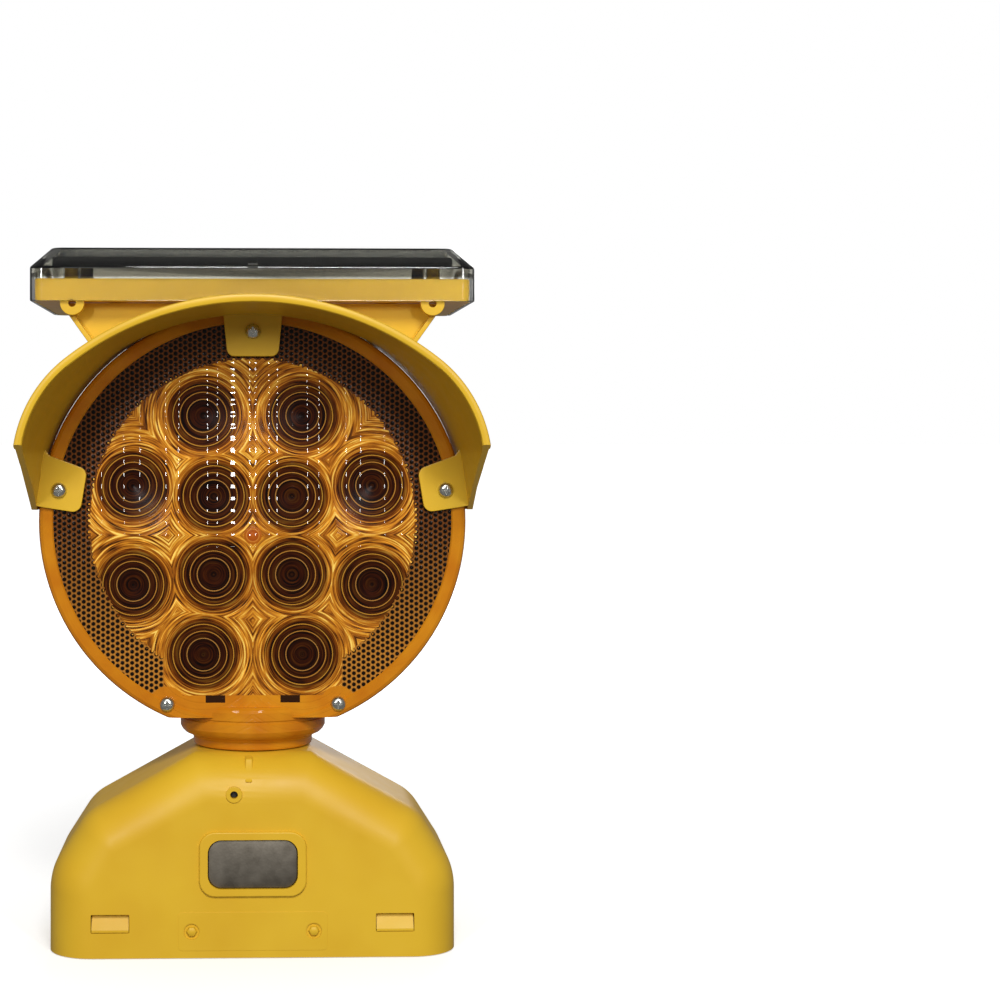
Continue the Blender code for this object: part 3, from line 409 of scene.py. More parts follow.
def circuit_laminate(name):
    """FR4 laminate: green solder mask over copper traces 1.2 mm apart, slightly glossy."""
    made, tree, shader = start(name, Roughness=0.38, IOR=1.5)
    place = add(tree, "TexCoord").outputs["Object"]
    traces = add(
        tree, "TexBrick", (("Vector", place), ("Scale", 180.0), ("Mortar Size", 0.03))
    )
    for key, code in (("Color1", "0E3B1E"), ("Color2", "114724"), ("Mortar", "1E6B36")):
        traces.inputs[key].default_value = shade_of(code)
    colour = blend_of(tree, 0.3, traces, noise_at(tree, place, 90.0), "OVERLAY")
    tree.links.new(colour.outputs[0], shader.inputs["Base Color"])
    relief(tree, shader, traces.outputs["Fac"], 0.3, 0.00005)
    return made


def dark_moulding(name, light, dark, gloss):
    """Black plastic or rubber: matt, with 1 mm clouds of dust and a fine tool grain."""
    made, tree, shader = start(name, IOR=1.5)
    place = add(tree, "TexCoord").outputs["Object"]
    cloud = noise_at(tree, place, 300.0, 5.0)
    colour = ramp_of(tree, cloud, ((0.35, dark), (0.7, light)))
    tree.links.new(colour.outputs[0], shader.inputs["Base Color"])
    rough = span_of(tree, cloud, gloss - 0.1, gloss + 0.1)
    tree.links.new(rough.outputs[0], shader.inputs["Roughness"])
    relief(tree, shader, noise_at(tree, place, 1500.0), 0.3, 0.00005)
    return made


def led_epoxy(name):
    """Amber-tinted clear epoxy, cast and glossy, a little darker towards its base."""
    made, tree, shader = start(name, IOR=1.53, Roughness=0.08, Coat_Weight=1.0)
    place = add(tree, "TexCoord").outputs["Object"]
    depth = add(tree, "SeparateXYZ", ((0, place),)).outputs[1]
    share = add(
        tree, "MapRange", (("Value", depth), ("From Min", -0.023), ("From Max", -0.015))
    )
    colour = ramp_of(tree, share, ((0.0, "F2B45A"), (1.0, "8A5314")))
    tree.links.new(colour.outputs[0], shader.inputs["Base Color"])
    return made


def printed_sleeve(name):
    """Shrink sleeve of a D cell: dark grey film with a copper-coloured band at the plus end."""
    made, tree, shader = start(name, Metallic=0.4, Coat_Weight=0.3)
    place = add(tree, "TexCoord").outputs["Object"]
    along = add(tree, "SeparateXYZ", ((0, place),)).outputs[0]
    share = sum_of(tree, "FRACT", sum_of(tree, "MULTIPLY_ADD", along, 1 / 0.0619, 0.9532))
    bands = ((0.0, "1C1D20"), (0.74, "232428"), (0.76, "B0703A"), (1.0, "A86A36"))
    colour = ramp_of(tree, share, bands)
    tree.links.new(colour.outputs[0], shader.inputs["Base Color"])
    # Wrinkles and scuffs of the film, 4 mm.
    scuff = noise_at(tree, place, 250.0, 5.0)
    rough = span_of(tree, scuff, 0.2, 0.45)
    tree.links.new(rough.outputs[0], shader.inputs["Roughness"])
    relief(tree, shader, scuff, 0.2, 0.0001)
    return made


case_yellow = moulded_polypropylene("case_polypropylene", "DDB22C", "D6A826", 0.4)
visor_yellow = moulded_polypropylene("visor_polypropylene", "DFB42C", "D8AB28", 0.34)
amber_front = amber_polycarbonate("amber_polycarbonate_front", True)
amber_back = amber_polycarbonate("amber_polycarbonate_back", False)
clear = clear_polycarbonate("smoked_clear_polycarbonate")
steel = galvanised_steel("galvanised_steel", ("6E675C", "898276"))
zinc = bright_zinc("zinc_plated_steel", ("B9B9B2", "DADAD2"))
FINISHES = {
    "case_plastic": case_yellow,
    "visor_plastic": visor_yellow,
    "amber_lens": amber_front,
    "clear_cover": clear,
    "solar_cells": silicon_cells("monocrystalline_silicon"),
    "galvanised_steel": steel,
    "zinc_screw": zinc,
    "spring_steel": bright_zinc("nickel_plated_spring_steel", ("A8A49A", "C9C6BC")),
    "circuit_board": circuit_laminate("fr4_laminate"),
    "led_epoxy": led_epoxy("amber_epoxy"),
    "black_plastic": dark_moulding("black_abs", "1B1B1C", "101011", 0.45),
    "black_rubber": dark_moulding("black_rubber", "1E1E1D", "121212", 0.75),
    "cell_sleeve": printed_sleeve("printed_cell_sleeve"),
}
for part in frame["record"]["subparts"]:
    node = frame["nodes"][part["node"]]
    if not node.material_slots:
        node.data.materials.append(None)
    for holder in node.material_slots:
        holder.material = FINISHES[part["material_slot"]]
frame["nodes"]["back_lens"].material_slots[0].material = amber_back

# ---------------------------------------------------------------------------------------------
# Modelling


def take(piece):
    """Makes this the only selected object, and the active one."""
    bpy.ops.object.select_all(action="DESELECT")
    if piece:
        piece.select_set(True)
        bpy.context.view_layer.objects.active = piece


def placed(u, v, w, axis):
    """A point whose outline coordinates are u and v, at w along the axis."""
    return {"X": (w, u, v), "Y": (u, w, v), "Z": (u, v, w)}[axis]


def rounded(corners, steps=8):
    """The closed outline through these (u, v, radius) corners, each an arc of its radius."""
    outline = []
    for index, (u, v, radius) in enumerate(corners):
        here = Vector((u, v))
        if radius == 0:
            outline.append(here)
            continue
        before = (Vector(corners[index - 1][:2]) - here).normalized()
        after = (Vector(corners[(index + 1) % len(corners)][:2]) - here).normalized()
        half = before.angle(after) / 2
        centre = here + (before + after).normalized() * radius / math.sin(half)
        first = here + before * radius / math.tan(half) - centre
        last = here + after * radius / math.tan(half) - centre
        turn = first.angle(last)
        for step in range(steps + 1):
            share = step / steps
            outline.append(
                centre
                + (first * math.sin((1 - share) * turn) + last * math.sin(share * turn))
                / math.sin(turn)
            )
    return outline


def rectangle(low, high, radius=0.0, steps=8):
    corners = ((high[0], low[1]), high, (low[0], high[1]), low)
    return rounded([(u, v, radius) for u, v in corners], steps)


def centred(width, height, radius, u=0.0, v=0.0, steps=8):
    return rectangle(
        (u - width / 2, v - height / 2), (u + width / 2, v + height / 2), radius, steps
    )


def outward(piece):
    """Merges doubles and turns every face outward."""
    take(piece)
    bpy.ops.object.mode_set(mode="EDIT")
    bpy.ops.mesh.select_all(action="SELECT")
    bpy.ops.mesh.remove_doubles(threshold=0.000002)
    bpy.ops.mesh.delete_loose(use_verts=True, use_edges=True, use_faces=False)
    bpy.ops.mesh.select_all(action="SELECT")
    bpy.ops.mesh.normals_make_consistent(inside=False)
    bpy.ops.object.mode_set(mode="OBJECT")
    return piece


def slab(outline, low, high, axis="Y"):
    """A filled circle with a corner for each point of the outline, moved there and extruded."""
    take(None)
    bpy.ops.mesh.primitive_circle_add(vertices=len(outline), fill_type="NGON")
    piece = bpy.context.object
    for vertex, (u, v) in zip(piece.data.vertices, outline):
        vertex.co = placed(u, v, low, axis)
    bpy.ops.object.mode_set(mode="EDIT")
    bpy.ops.mesh.select_all(action="SELECT")
    bpy.ops.mesh.extrude_region_move(
        TRANSFORM_OT_translate={"value": placed(0, 0, high - low, axis)}
    )
    bpy.ops.object.mode_set(mode="OBJECT")
    return outward(piece)


def box_between(low, high):
    return slab(rectangle(low[:2], high[:2]), low[2], high[2], "Z")


def lathe(profile, axis="Z", centre=(0.0, 0.0, 0.0), steps=96):
    """Spins a closed (radius, height) profile about an axis through the centre."""
    take(None)
    bpy.ops.mesh.primitive_circle_add(vertices=len(profile), fill_type="NOTHING")
    piece = bpy.context.object
    for vertex, (r, h) in zip(piece.data.vertices, profile):
        vertex.co = Vector(placed(r, 0, h, axis)) + Vector(centre)
    bpy.ops.object.mode_set(mode="EDIT")
    bpy.ops.mesh.select_all(action="SELECT")
    bpy.ops.mesh.spin(
        steps=steps, angle=math.tau, center=centre, axis=placed(0, 0, 1, axis), dupli=False
    )
    bpy.ops.object.mode_set(mode="OBJECT")
    return outward(piece)


def rod(u, v, radius, low, high, axis="Y", sides=48):
    turns = [math.tau * step / sides for step in range(sides)]
    rim = [(u + radius * math.cos(turn), v + radius * math.sin(turn)) for turn in turns]
    return slab(rim, low, high, axis)


def apply(piece, kind, **settings):
    """Adds a modifier with these settings and applies it."""
    take(piece)
    step = piece.modifiers.new(kind.title(), kind)
    for key, value in settings.items():
        setattr(step, key, value)
    bpy.ops.object.modifier_apply(modifier=step.name)
    return piece


def soften(piece, width, segments=3, angle=30.0):
    """Rounds the edges that are sharper than the angle."""
    return apply(
        piece,
        "BEVEL",
        width=width,
        segments=segments,
        limit_method="ANGLE",
        angle_limit=math.radians(angle),
    )


def combine(piece, operation, *tools):
    """Joins the tools to the piece, or cuts them from it."""
    for tool in tools:
        apply(piece, "BOOLEAN", operation=operation, object=tool)
        bpy.data.objects.remove(tool)
    return piece


def keep(piece, name, body, finish, slot, *nodes, angle=30.0, weighted=False):
    """Names a finished piece, shades it smooth, gives it its finish and body, and hides the CAD
    nodes that it stands for.
    """
    piece.name = piece.data.name = name
    piece.data.materials.clear()
    piece.data.materials.append(finish)
    take(piece)
    bpy.ops.object.shade_smooth_by_angle(angle=math.radians(angle))
    if weighted:
        apply(piece, "WEIGHTED_NORMAL", keep_sharp=True)
    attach(piece, body)
    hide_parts(*nodes)
    return piece


def in_mm(points):
    return [tuple(value * MM for value in point) for point in points]


# ---------------------------------------------------------------------------------------------
# Battery case


def case_body():
    """A slab with the case's outline; its front and back edges are bevelled, its foot is open."""
    half = ((91.0, 36.0, 30.0), (74.7, 61.5, 22.0), (26.0, 88.4, 0.0))
    corners = [(91.0, 0.0, 0.0), *half, *[(-u, v, r) for u, v, r in reversed(half)]]
    corners.append((-91.0, 0.0, 0.0))
    outline = [(u * MM, v * MM) for u, v in rounded(corners, 12)]
    piece = slab(outline, CASE_FRONT, CASE_BACK)
    take(piece)
    bpy.ops.object.mode_set(mode="EDIT")
    bpy.ops.mesh.select_all(action="DESELECT")
    bpy.ops.mesh.select_mode(type="EDGE")
    bpy.ops.object.mode_set(mode="OBJECT")
    for edge in piece.data.edges:
        ends = [piece.data.vertices[index].co for index in edge.vertices]
        level = abs(ends[0].y - ends[1].y) < 1e-6
        foot = max(end.z for end in ends) < 1e-6
        edge.select = level and not foot
    bpy.ops.object.mode_set(mode="EDIT")
    bpy.ops.mesh.bevel(offset=20.0 * MM, segments=12, profile=0.5, clamp_overlap=False)
    bpy.ops.mesh.select_mode(type="FACE")
    bpy.ops.mesh.select_all(action="DESELECT")
    bpy.ops.object.mode_set(mode="OBJECT")
    for polygon in piece.data.polygons:
        polygon.select = polygon.normal.z < -0.9 and polygon.center.z < 1e-4
    bpy.ops.object.mode_set(mode="EDIT")
    bpy.ops.mesh.delete(type="FACE")
    bpy.ops.mesh.select_mode(type="VERT")
    bpy.ops.object.mode_set(mode="OBJECT")
    return apply(piece, "SOLIDIFY", thickness=2.6 * MM, offset=-1.0, use_even_offset=True)


def build_case():
    case = case_body()
    top = 88.4 * MM
    neck = lathe(
        in_mm(
            (
                (15.5, 86.4),
                (25.4, 86.4),
                (23.4, 88.4),
                (21.6, 89.8),
                (21.0, 91.2),
                (19.3, 91.2),
                (19.3, 93.8),
                (21.0, 93.8),
                (21.0, 97.6),
                (28.6, 97.6),
                (28.6, 100.7),
                (15.5, 100.7),
            )
        )
    )
    window = soften(
        slab(centred(47.3 * MM, 28.6 * MM, 7.0 * MM, 0, PLATE_Z), -44.5 * MM, -42.0 * MM), 0.7 * MM
    )
    boss = soften(rod(SWITCH.x, SWITCH.z, 3.6 * MM, -43.6 * MM, -42.0 * MM), 0.3 * MM)
    pads = [
        soften(
            slab(centred(66.0 * MM, 17.0 * MM, 2.0 * MM, 0, 11.7 * MM), -43.18 * MM, -42.0 * MM),
            0.15 * MM,
            2,
        )
    ]
    # The rib leans back as the shoulder does, and its foot spreads.
    rib = slab(
        in_mm(((-41.9, 77.3), (-39.4, 79.3), (-35.0, 86.6), (-26.0, 88.0), (-26.0, 77.3))),
        -3.4 * MM,
        -0.2 * MM,
        "X",
    )
    soften(rib, 0.6 * MM)
    combine(case, "UNION", neck, window, boss, rib, *pads)
    cutters = [
        rod(0, 0, 15.5 * MM, top - 6.0 * MM, 102.0 * MM, "Z"),
        slab(centred(39.8 * MM, 21.7 * MM, 6.0 * MM, 0, PLATE_Z), -48.0 * MM, -38.0 * MM),
        rod(SWITCH.x, SWITCH.z, 1.7 * MM, -47.0 * MM, -36.0 * MM),
        rod(0, PLATE_Z, 7.0 * MM, 38.0 * MM, 46.0 * MM),
    ]
    room = 0.3 * MM
    for side, hand in ((-1, "left"), (1, "right")):
        cutters.append(rod(side * BUMP_X, BUMP_Z, 3.5 * MM, -45.0 * MM, -42.4 * MM))
        for face, edges in (("front", (-46.0 * MM, -38.0 * MM)), ("back", (38.0 * MM, 46.0 * MM))):
            low, high = (Vector(corner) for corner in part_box(f"tray_hook_{face}_{hand}"))
            near, far = (low.x - room, 11.1 * MM), (high.x + room, high.z + room)
            cutters.append(slab(rectangle(near, far, 0.5 * MM, 2), *edges))
    combine(case, "DIFFERENCE", *cutters)
    bump = ((0.0, -44.2), (1.2, -44.1), (2.0, -43.7), (2.4, -43.0), (2.4, -42.2), (0.0, -42.2))
    for side in (-1, 1):
        combine(case, "UNION", lathe(in_mm(bump), "Y", (side * BUMP_X, 0, BUMP_Z), 6))
    keep(case, "case_moulding", "case", case_yellow, "case_plastic", "case_shell", weighted=True)
    plate = slab(centred(39.2 * MM, 21.1 * MM, 5.7 * MM, 0, PLATE_Z), -43.3 * MM, -39.0 * MM)
    soften(plate, 0.35 * MM)
    flange = slab(centred(45.0 * MM, 27.0 * MM, 6.0 * MM, 0, PLATE_Z), -40.1 * MM, -38.3 * MM)
    combine(plate, "UNION", flange)
    keep(plate, "anchor_plate_steel", "case", steel, "galvanised_steel", "anchor_plate")


# ---------------------------------------------------------------------------------------------
# Lens


def lens_half(name, sign, finish, node):
    """The drum spun about Y, cut at the parting, joined to its half of the collar."""
    centre = (0.0, 0.0, LENS_Z)
    outside = (
        (0.0, 31.0),
        (26.0, 30.6),
        (50.0, 29.5),
        (72.4, 28.1),
        (73.0, 28.0),
        (89.4, 28.0),
        (90.0, 28.7),
        (94.0, 28.6),
        (95.2, 28.0),
        (95.9, 26.8),
        (96.2, 24.6),
        (96.3, 5.2),
        (97.0, 5.0),
        (97.0, 0.25),
        (89.6, 0.25),
        (89.6, 3.0),
        (93.7, 3.6),
        (92.9, 23.2),
        (90.8, 25.5),
        (73.0, 25.5),
        (50.0, 27.0),
        (0.0, 28.5),
    )
    profile = [(r * MM, sign * y * MM) for r, y in outside]
    drum = lathe(profile, "Y", centre, 144)
    below = box_between((-0.13, -0.13, 0.08), (0.13, 0.13, 104.0 * MM))
    combine(drum, "DIFFERENCE", below)
    collar = lathe(
        in_mm(
            (
                (21.5, 88.8),
                (26.5, 88.8),
                (27.1, 89.2),
                (27.4, 90.0),
                (27.4, 92.2),
                (28.4, 93.4),
                (31.2, 94.6),
                (32.6, 96.0),
                (33.4, 97.6),
                (33.4, 101.2),
                (32.9, 101.6),
                (32.9, 102.4),
                (33.4, 102.8),
                (33.4, 106.4),
                (32.8, 107.6),
                (31.6, 108.6),
                (26.0, 108.6),
                (26.0, 103.2),
                (12.0, 103.2),
                (12.0, 101.2),
                (29.1, 101.2),
                (29.1, 97.1),
                (21.5, 97.1),
            )
        ),
        steps=96,
    )
    combine(drum, "UNION", collar)
    span = 0.13
    edges = (-0.25 * MM, span) if sign < 0 else (-span, 0.25 * MM)
    for screw in LENS_SCREWS:
        spot = middle(f"lens_screw_{screw}")
        end = sign * 26.8 * MM
        low, high = min(0.0, end), max(0.0, end)
        boss = rod(spot.x, spot.z, 5.4 * MM, low, high)
        combine(drum, "UNION", boss)
        bore = rod(spot.x, spot.z, SCREW_BORE, -34.0 * MM, 14.0 * MM, sides=24)
        combine(drum, "DIFFERENCE", bore)
    combine(drum, "DIFFERENCE", slab(rectangle((-span, 0.08), (span, 0.31)), *edges))
    keep(drum, name, "head", finish, "amber_lens", node, angle=22.0)


def lens_screws():
    """Pan heads with a cross recess."""
    for screw in LENS_SCREWS:
        low, high = (Vector(corner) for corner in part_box(f"lens_screw_{screw}"))
        spot = (low + high) / 2
        seat = low.y + 2.5 * MM
        head = lathe(
            [
                (r * MM, seat + y * MM)
                for r, y in (
                    (0.0, -2.5),
                    (1.2, -2.44),
                    (2.2, -2.15),
                    (2.9, -1.6),
                    (3.3, -0.9),
                    (3.4, -0.4),
                    (3.4, 0.0),
                    (2.0, 0.0),
                    (2.0, 38.4),
                    (1.4, 39.0),
                    (0.0, 39.0),
                )
            ],
            "Y",
            (spot.x, 0, spot.z),
            32,
        )
        for wide, tall in ((1.9, 0.42), (0.42, 1.9)):
            recess = slab(
                centred(2 * wide * MM, 2 * tall * MM, 0.3 * MM, spot.x, spot.z, 2),
                seat - 4.0 * MM,
                seat - 1.2 * MM,
            )
            combine(head, "DIFFERENCE", recess)
        keep(head, f"pan_screw_{screw}", "head", zinc, "zinc_screw", f"lens_screw_{screw}")


# ---------------------------------------------------------------------------------------------
# Visor

HOOD_TOP, HOOD_TOP_R, HOOD_TURN, HOOD_HALF = 98.5 * MM, 128.0 * MM, math.radians(38.0), 101.0 * MM
HOOD_END = (102.4 * MM, 5.5 * MM)
HOOD_FRONT, HOOD_BACK = -88.5 * MM, -16.0 * MM
TIGHT = (HOOD_HALF - HOOD_TOP_R * math.sin(HOOD_TURN)) / (1 - math.sin(HOOD_TURN))
HUB = (
    (HOOD_TOP_R - TIGHT) * math.sin(HOOD_TURN),
    HOOD_TOP - HOOD_TOP_R + (HOOD_TOP_R - TIGHT) * math.cos(HOOD_TURN),
)


def hood_narrowing(x, z, y):
    """How much nearer the lens axis a point of the hood is at y than at the front edge. At its
    back the hood closes in on the round lens rim."""
    along = Vector((abs(x), z)).normalized()
    for hub, radius in (((0.0, HOOD_TOP - HOOD_TOP_R), HOOD_TOP_R), (HUB, TIGHT)):
        hub = Vector(hub)
        lead = along.dot(hub)
        reach = lead + math.sqrt(lead * lead - hub.length_squared + radius * radius)
        point = along * reach - hub
        if math.atan2(point.x, point.y) < HOOD_TURN:
            break
    back = min(0.97, 99.9 * MM / reach)
    return 1 - (1 - back) * (y - HOOD_FRONT) / (HOOD_BACK - HOOD_FRONT)


def hood_body():
    """The hood's wall section, pulled up from its right end, then spun over three arcs."""
    section = (
        (1.4, 0.0),
        (0.5, 0.25),
        (0.0, 1.0),
        (0.0, 3.4),
        (0.5, 4.3),
        (0.6, 72.5),
        (3.1, 72.5),
        (3.1, 5.0),
        (3.5, 4.0),
        (3.5, 0.9),
        (3.1, 0.25),
        (2.3, 0.0),
    )
    take(None)
    bpy.ops.mesh.primitive_circle_add(vertices=len(section), fill_type="NGON")
    piece = bpy.context.object
    for vertex, (inset, back) in zip(piece.data.vertices, section):
        vertex.co = (HOOD_END[0] - inset * MM, HOOD_FRONT + back * MM, LENS_Z + HOOD_END[1])
    lean = HOOD_END[0] - HOOD_HALF
    rise = HUB[1] - HOOD_END[1]
    bpy.ops.object.mode_set(mode="EDIT")
    bpy.ops.mesh.select_all(action="SELECT")
    bpy.ops.mesh.extrude_region_move(TRANSFORM_OT_translate={"value": (-lean, 0, rise)})
    quarter = math.pi / 2 - HOOD_TURN
    over = (0.0, 0.0, LENS_Z + HOOD_TOP - HOOD_TOP_R)
    right, left = (HUB[0], 0.0, LENS_Z + HUB[1]), (-HUB[0], 0.0, LENS_Z + HUB[1])
    arcs = ((right, quarter, 24), (over, 2 * HOOD_TURN, 48), (left, quarter, 24))
    for centre, angle, steps in arcs:
        bpy.ops.mesh.spin(steps=steps, angle=angle, center=centre, axis=(0, 1, 0), dupli=False)
    bpy.ops.mesh.extrude_region_move(TRANSFORM_OT_translate={"value": (-lean, 0, -rise)})
    bpy.ops.object.mode_set(mode="OBJECT")
    for vertex in piece.data.vertices:
        narrow = hood_narrowing(vertex.co.x, vertex.co.z - LENS_Z, vertex.co.y)
        vertex.co.x *= narrow
        vertex.co.z = LENS_Z + (vertex.co.z - LENS_Z) * narrow
    outward(piece)
    ends = slab(
        in_mm(((-95.0, 230.1), (-95.0, 150.0), (-20.0, 150.0), (-20.0, 194.2))), -0.12, 0.12, "X"
    )
    beside = rod(0, LENS_Z, 96.6 * MM, -28.3 * MM, 10.0 * MM, sides=144)
    return combine(piece, "DIFFERENCE", ends, beside)


def hood_line(y, inset):
    """The hood's outline at y, over its top from right to left: (x, z)."""
    half = []
    for step in range(1, 17):
        angle = HOOD_TURN * step / 16
        reach = HOOD_TOP_R - inset
        half.append(
            (reach * math.sin(angle), HOOD_TOP - HOOD_TOP_R + reach * math.cos(angle))
        )
    for step in range(1, 17):
        angle = HOOD_TURN + (math.pi / 2 - HOOD_TURN) * step / 16
        reach = TIGHT - inset
        half.append((HUB[0] + reach * math.sin(angle), HUB[1] + reach * math.cos(angle)))
    line = [*reversed(half), (0.0, HOOD_TOP - inset), *[(-x, z) for x, z in half]]
    line = [(x, z, hood_narrowing(x, z, y)) for x, z in line]
    return [(x * share, LENS_Z + z * share) for x, z, share in line]


def build_visor():
    visor = hood_body()
    top = COVER_LOW.z - 0.3 * MM
    span = 84.7 * MM
    foot = (69.0 * MM, 267.2 * MM)
    under = [(x, z) for x, z in hood_line(-40.0 * MM, 1.8 * MM) if abs(x) < 67.0 * MM]
    web = [(span, top), foot, *under, (-foot[0], foot[1]), (-span, top)]
    combine(visor, "UNION", slab(web, -42.0 * MM, -39.4 * MM))
    for side in (-1, 1):
        edge = [
            (side * span, top),
            (side * foot[0], foot[1]),
            (side * (foot[0] - 1.7 * MM), foot[1] + 1.3 * MM),
            (side * (span - 2.4 * MM), top),
        ]
        flange = soften(slab(edge, -48.4 * MM, -32.0 * MM), 0.4 * MM, 2)
        post = rod(side * POST_X, POST_Y, 4.2 * MM, 279.0 * MM, top, "Z")
        combine(visor, "UNION", flange, post)
    tab_y = (-30.8 * MM, -28.3 * MM)
    tab = in_mm(
        rounded([(13.5, 287.0, 0.0), (-13.5, 287.0, 0.0), (-11.4, 266.2, 3.6), (11.4, 266.2, 3.6)])
    )
    combine(visor, "UNION", soften(slab(tab, *tab_y), 0.5 * MM, 2))
    for side in (-1, 1):
        ear = in_mm(
            rounded(
                [
                    (side * 93.4, 225.4, 0.0),
                    (side * 91.0, 221.8, 0.0),
                    (side * 74.0, 215.4, 4.0),
                    (side * 77.2, 196.0, 4.0),
                    (side * 94.0, 198.6, 0.0),
                    (side * 97.8, 199.4, 0.0),
                ]
            )
        )
        combine(visor, "UNION", soften(slab(ear, *tab_y), 0.5 * MM, 2))
    for screw in ("top", "left", "right"):
        spot = middle(f"lens_screw_{screw}")
        combine(visor, "DIFFERENCE", rod(spot.x, spot.z, SCREW_BORE, -36.0 * MM, -26.0 * MM))
    finish = (visor_yellow, "visor_plastic", "visor_bracket")
    keep(visor, "visor_moulding", "head", *finish, weighted=True)


# ---------------------------------------------------------------------------------------------
# Solar box


def narrow_top(piece, top, inset):
    """Pulls a slab's top face up to a height and narrows it by the inset on each side."""
    spread = list(zip(*(vertex.co for vertex in piece.data.vertices)))
    lows, highs = [min(values) for values in spread], [max(values) for values in spread]
    half = [(high - low) / 2 for low, high in zip(lows, highs)]
    centre = [(high + low) / 2 for low, high in zip(lows, highs)]
    take(piece)
    bpy.ops.object.mode_set(mode="EDIT")
    bpy.ops.mesh.select_all(action="DESELECT")
    bpy.ops.mesh.select_mode(type="FACE")
    bpy.ops.object.mode_set(mode="OBJECT")
    for polygon in piece.data.polygons:
        polygon.select = polygon.normal.z > 0.9
    bpy.ops.object.mode_set(mode="EDIT")
    bpy.ops.mesh.extrude_region_move(TRANSFORM_OT_translate={"value": (0, 0, top - highs[2])})
    share = [(size - inset) / size for size in half[:2]]
    bpy.ops.transform.resize(value=(*share, 1), center_override=centre)
    bpy.ops.mesh.select_mode(type="VERT")
    bpy.ops.object.mode_set(mode="OBJECT")
    return outward(piece)


def build_solar_box():
    low, high = COVER_LOW, COVER_HIGH
    chamfer = 9.0 * MM
    cover = slab(rectangle(low.xy, high.xy, 6.0 * MM), low.z, high.z - chamfer, "Z")
    soften(narrow_top(cover, high.z, chamfer), 0.6 * MM, 3, 20.0)
    wall = Vector((1.9 * MM, 1.9 * MM))
    inside = rectangle(low.xy + wall, high.xy - wall, 4.1 * MM)
    hollow = slab(inside, low.z - 2.0 * MM, high.z - chamfer - 0.8 * MM, "Z")
    combine(cover, "DIFFERENCE", narrow_top(hollow, high.z - 1.9 * MM, chamfer))
    # A ladder of six small bars up the middle of the front.
    for step in range(6):
        bar = 299.4 * MM + step * 1.45 * MM
        face = low.y + max(0.0, bar - (high.z - chamfer))
        near, far = (-2.1 * MM, face - 0.5 * MM, bar), (2.1 * MM, face + 1.2 * MM, bar + 0.8 * MM)
        combine(cover, "UNION", box_between(near, far))
    keep(cover, "solar_cover_moulding", "head", clear, "clear_cover", "solar_cover", angle=20.0)

    inset = 2.2 * MM
    low, high = Vector((low.x + inset, low.y + inset)), Vector((high.x - inset, high.y - inset))
    base, rim = COVER_LOW.z, 299.3 * MM
    tray = slab(rectangle(low, high, 4.0 * MM), base, rim, "Z")
    soften(tray, 0.4 * MM, 2)
    wall = Vector((2.0 * MM, 2.0 * MM))
    hollow = slab(rectangle(low + wall, high - wall, 2.0 * MM), base + 2.2 * MM, rim + 0.01, "Z")
    combine(tray, "DIFFERENCE", hollow)
    through = (base - 2.0 * MM, base + 4.0 * MM, "Z")
    for side in (-1, 1):
        ear = rod(side * EAR_X, EAR_Z, 5.3 * MM, low.y, low.y + 4.0 * MM)
        combine(tray, "UNION", soften(ear, 0.4 * MM, 2))
        for y in (-40.0 * MM, 45.0 * MM):
            pillar = rod(side * 80.0 * MM, y, 3.0 * MM, base + 1.0 * MM, 305.7 * MM, "Z")
            combine(tray, "UNION", pillar)
        hole = rod(side * EAR_X, EAR_Z, 1.7 * MM, low.y - 2.0 * MM, low.y + 6.0 * MM)
        combine(tray, "DIFFERENCE", hole, rod(side * POST_X, POST_Y, 1.6 * MM, *through))
    combine(tray, "DIFFERENCE", rod(middle("solar_lead").x, 12.0 * MM, 3.9 * MM, *through))
    finish = (visor_yellow, "visor_plastic", "solar_tray")
    keep(tray, "solar_tray_moulding", "head", *finish, weighted=True)


build_case()
lens_half("front_lens_moulding", -1, amber_front, "front_lens")
lens_half("back_lens_moulding", 1, amber_back, "back_lens")
lens_screws()
build_visor()
build_solar_box()

# ---------------------------------------------------------------------------------------------
# Floor, lights and camera

take(None)
bpy.ops.mesh.primitive_plane_add(size=60.0, location=(0, 0, -0.0004))
floor = bpy.context.object
floor.name = "floor"
pale, tree, shader = start("pale_floor", Roughness=0.7)
shade = ramp_of(
    tree,
    noise_at(tree, add(tree, "TexCoord").outputs["Object"], 3.0),
    ((0.3, "FAFAF8"), (0.7, "FFFFFE")),
)
tree.links.new(shade.outputs[0], shader.inputs["Base Color"])
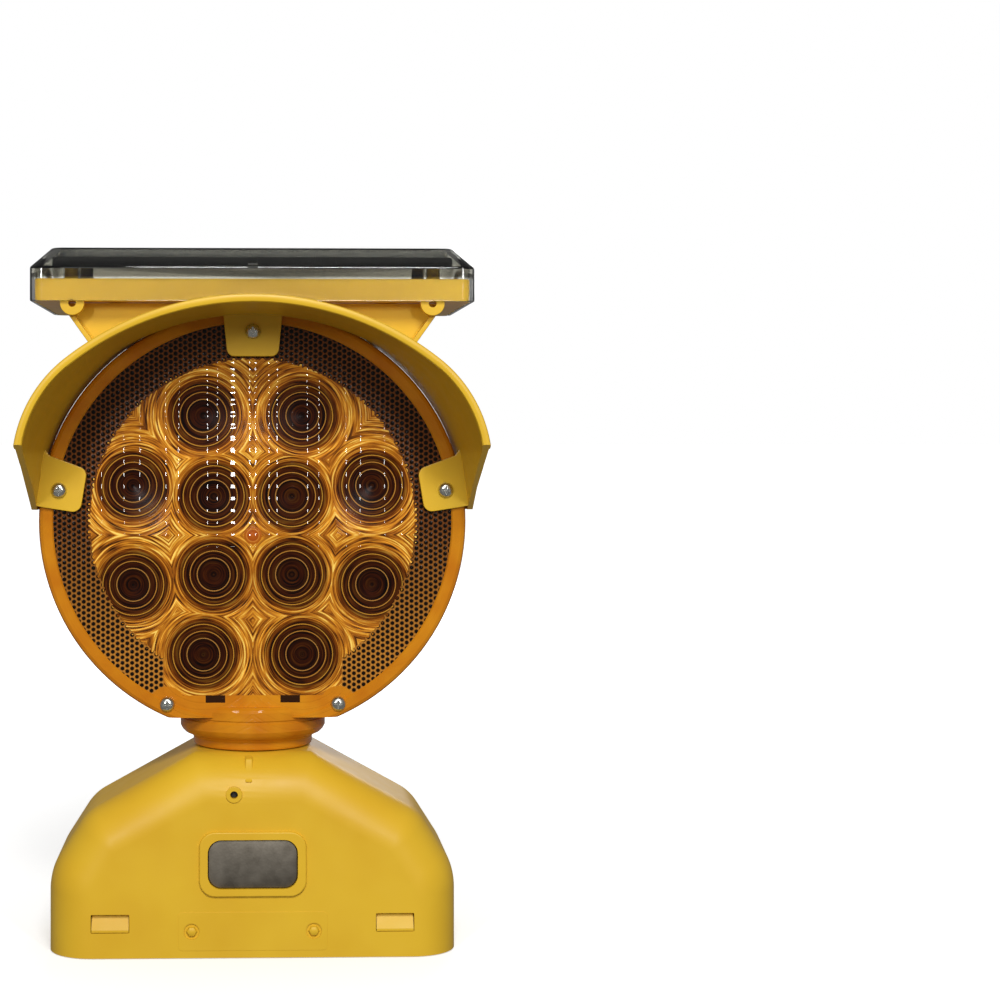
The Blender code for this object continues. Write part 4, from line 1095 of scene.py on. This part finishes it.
# The floor glows more the further out, like a lit sweep, so that it has no horizon.
spot = add(tree, "TexCoord").outputs["Object"]
reach = add(tree, "VectorMath", ((0, spot),), operation="LENGTH").outputs["Value"]
glow = add(tree, "MapRange", (("Value", reach), ("From Min", -0.35), ("From Max", 0.9)))
tree.links.new(glow.outputs[0], shader.inputs["Emission Strength"])
shader.inputs["Emission Color"].default_value = (1.0, 1.0, 1.0, 1.0)
floor.data.materials.append(pale)
# The object takes its light from the lamps and walls only, so the hood stays dark inside.
floor.visible_diffuse = floor.visible_glossy = False


def softbox(name, place, target, size, power):
    """A rectangular area light at a place, facing a target."""
    lamp = bpy.data.lights.new(name, "AREA")
    lamp.shape = "RECTANGLE"
    lamp.size, lamp.size_y = size
    lamp.energy = power
    holder = bpy.data.objects.new(name, lamp)
    holder.location = place
    aim = Vector(target) - Vector(place)
    holder.rotation_euler = aim.to_track_quat("-Z", "Y").to_euler()
    bpy.context.collection.objects.link(holder)


softbox("key", (0.1, -1.9, 1.56), (0, 0, 0.17), (0.8, 0.6), 35.0)
softbox("strip_left", (-0.62, -1.6, 0.62), (0, 0, 0.18), (0.045, 0.32), 6.2)
softbox("strip_right", (0.62, -1.6, 0.62), (0, 0, 0.18), (0.045, 0.32), 5.6)
softbox("fill_back", (0.3, 2.2, 0.8), (0, 0, 0.17), (1.2, 0.8), 9.0)

# The studio walls light the object dimly and look white behind it.
world = bpy.data.worlds.new("studio")
world.use_nodes = True
walls = world.node_tree
dim = walls.nodes["Background"]
dim.inputs["Color"].default_value = (1.0, 1.0, 1.0, 1.0)
dim.inputs["Strength"].default_value = 0.2
white = add(walls, "Background", (("Color", (1.0, 1.0, 1.0, 1.0)), ("Strength", 1.0)))
seen = add(walls, "LightPath").outputs["Is Camera Ray"]
both = add(walls, "MixShader", ((0, seen), (1, dim), (2, white)))
walls.links.new(both.outputs[0], walls.nodes["World Output"].inputs["Surface"])
bpy.context.scene.world = world
bpy.context.scene.view_settings.view_transform = "Standard"

camera = bpy.data.objects.new("camera", bpy.data.cameras.new("camera"))
camera.data.lens = 72.0
camera.data.sensor_width = 36.0
camera.data.shift_x, camera.data.shift_y = 0.19, -0.07
camera.location = (0.0, -0.928, 0.233)
camera.rotation_euler = (math.radians(90.0), 0.0, math.radians(-1.63))
bpy.context.collection.objects.link(camera)
bpy.context.scene.camera = camera
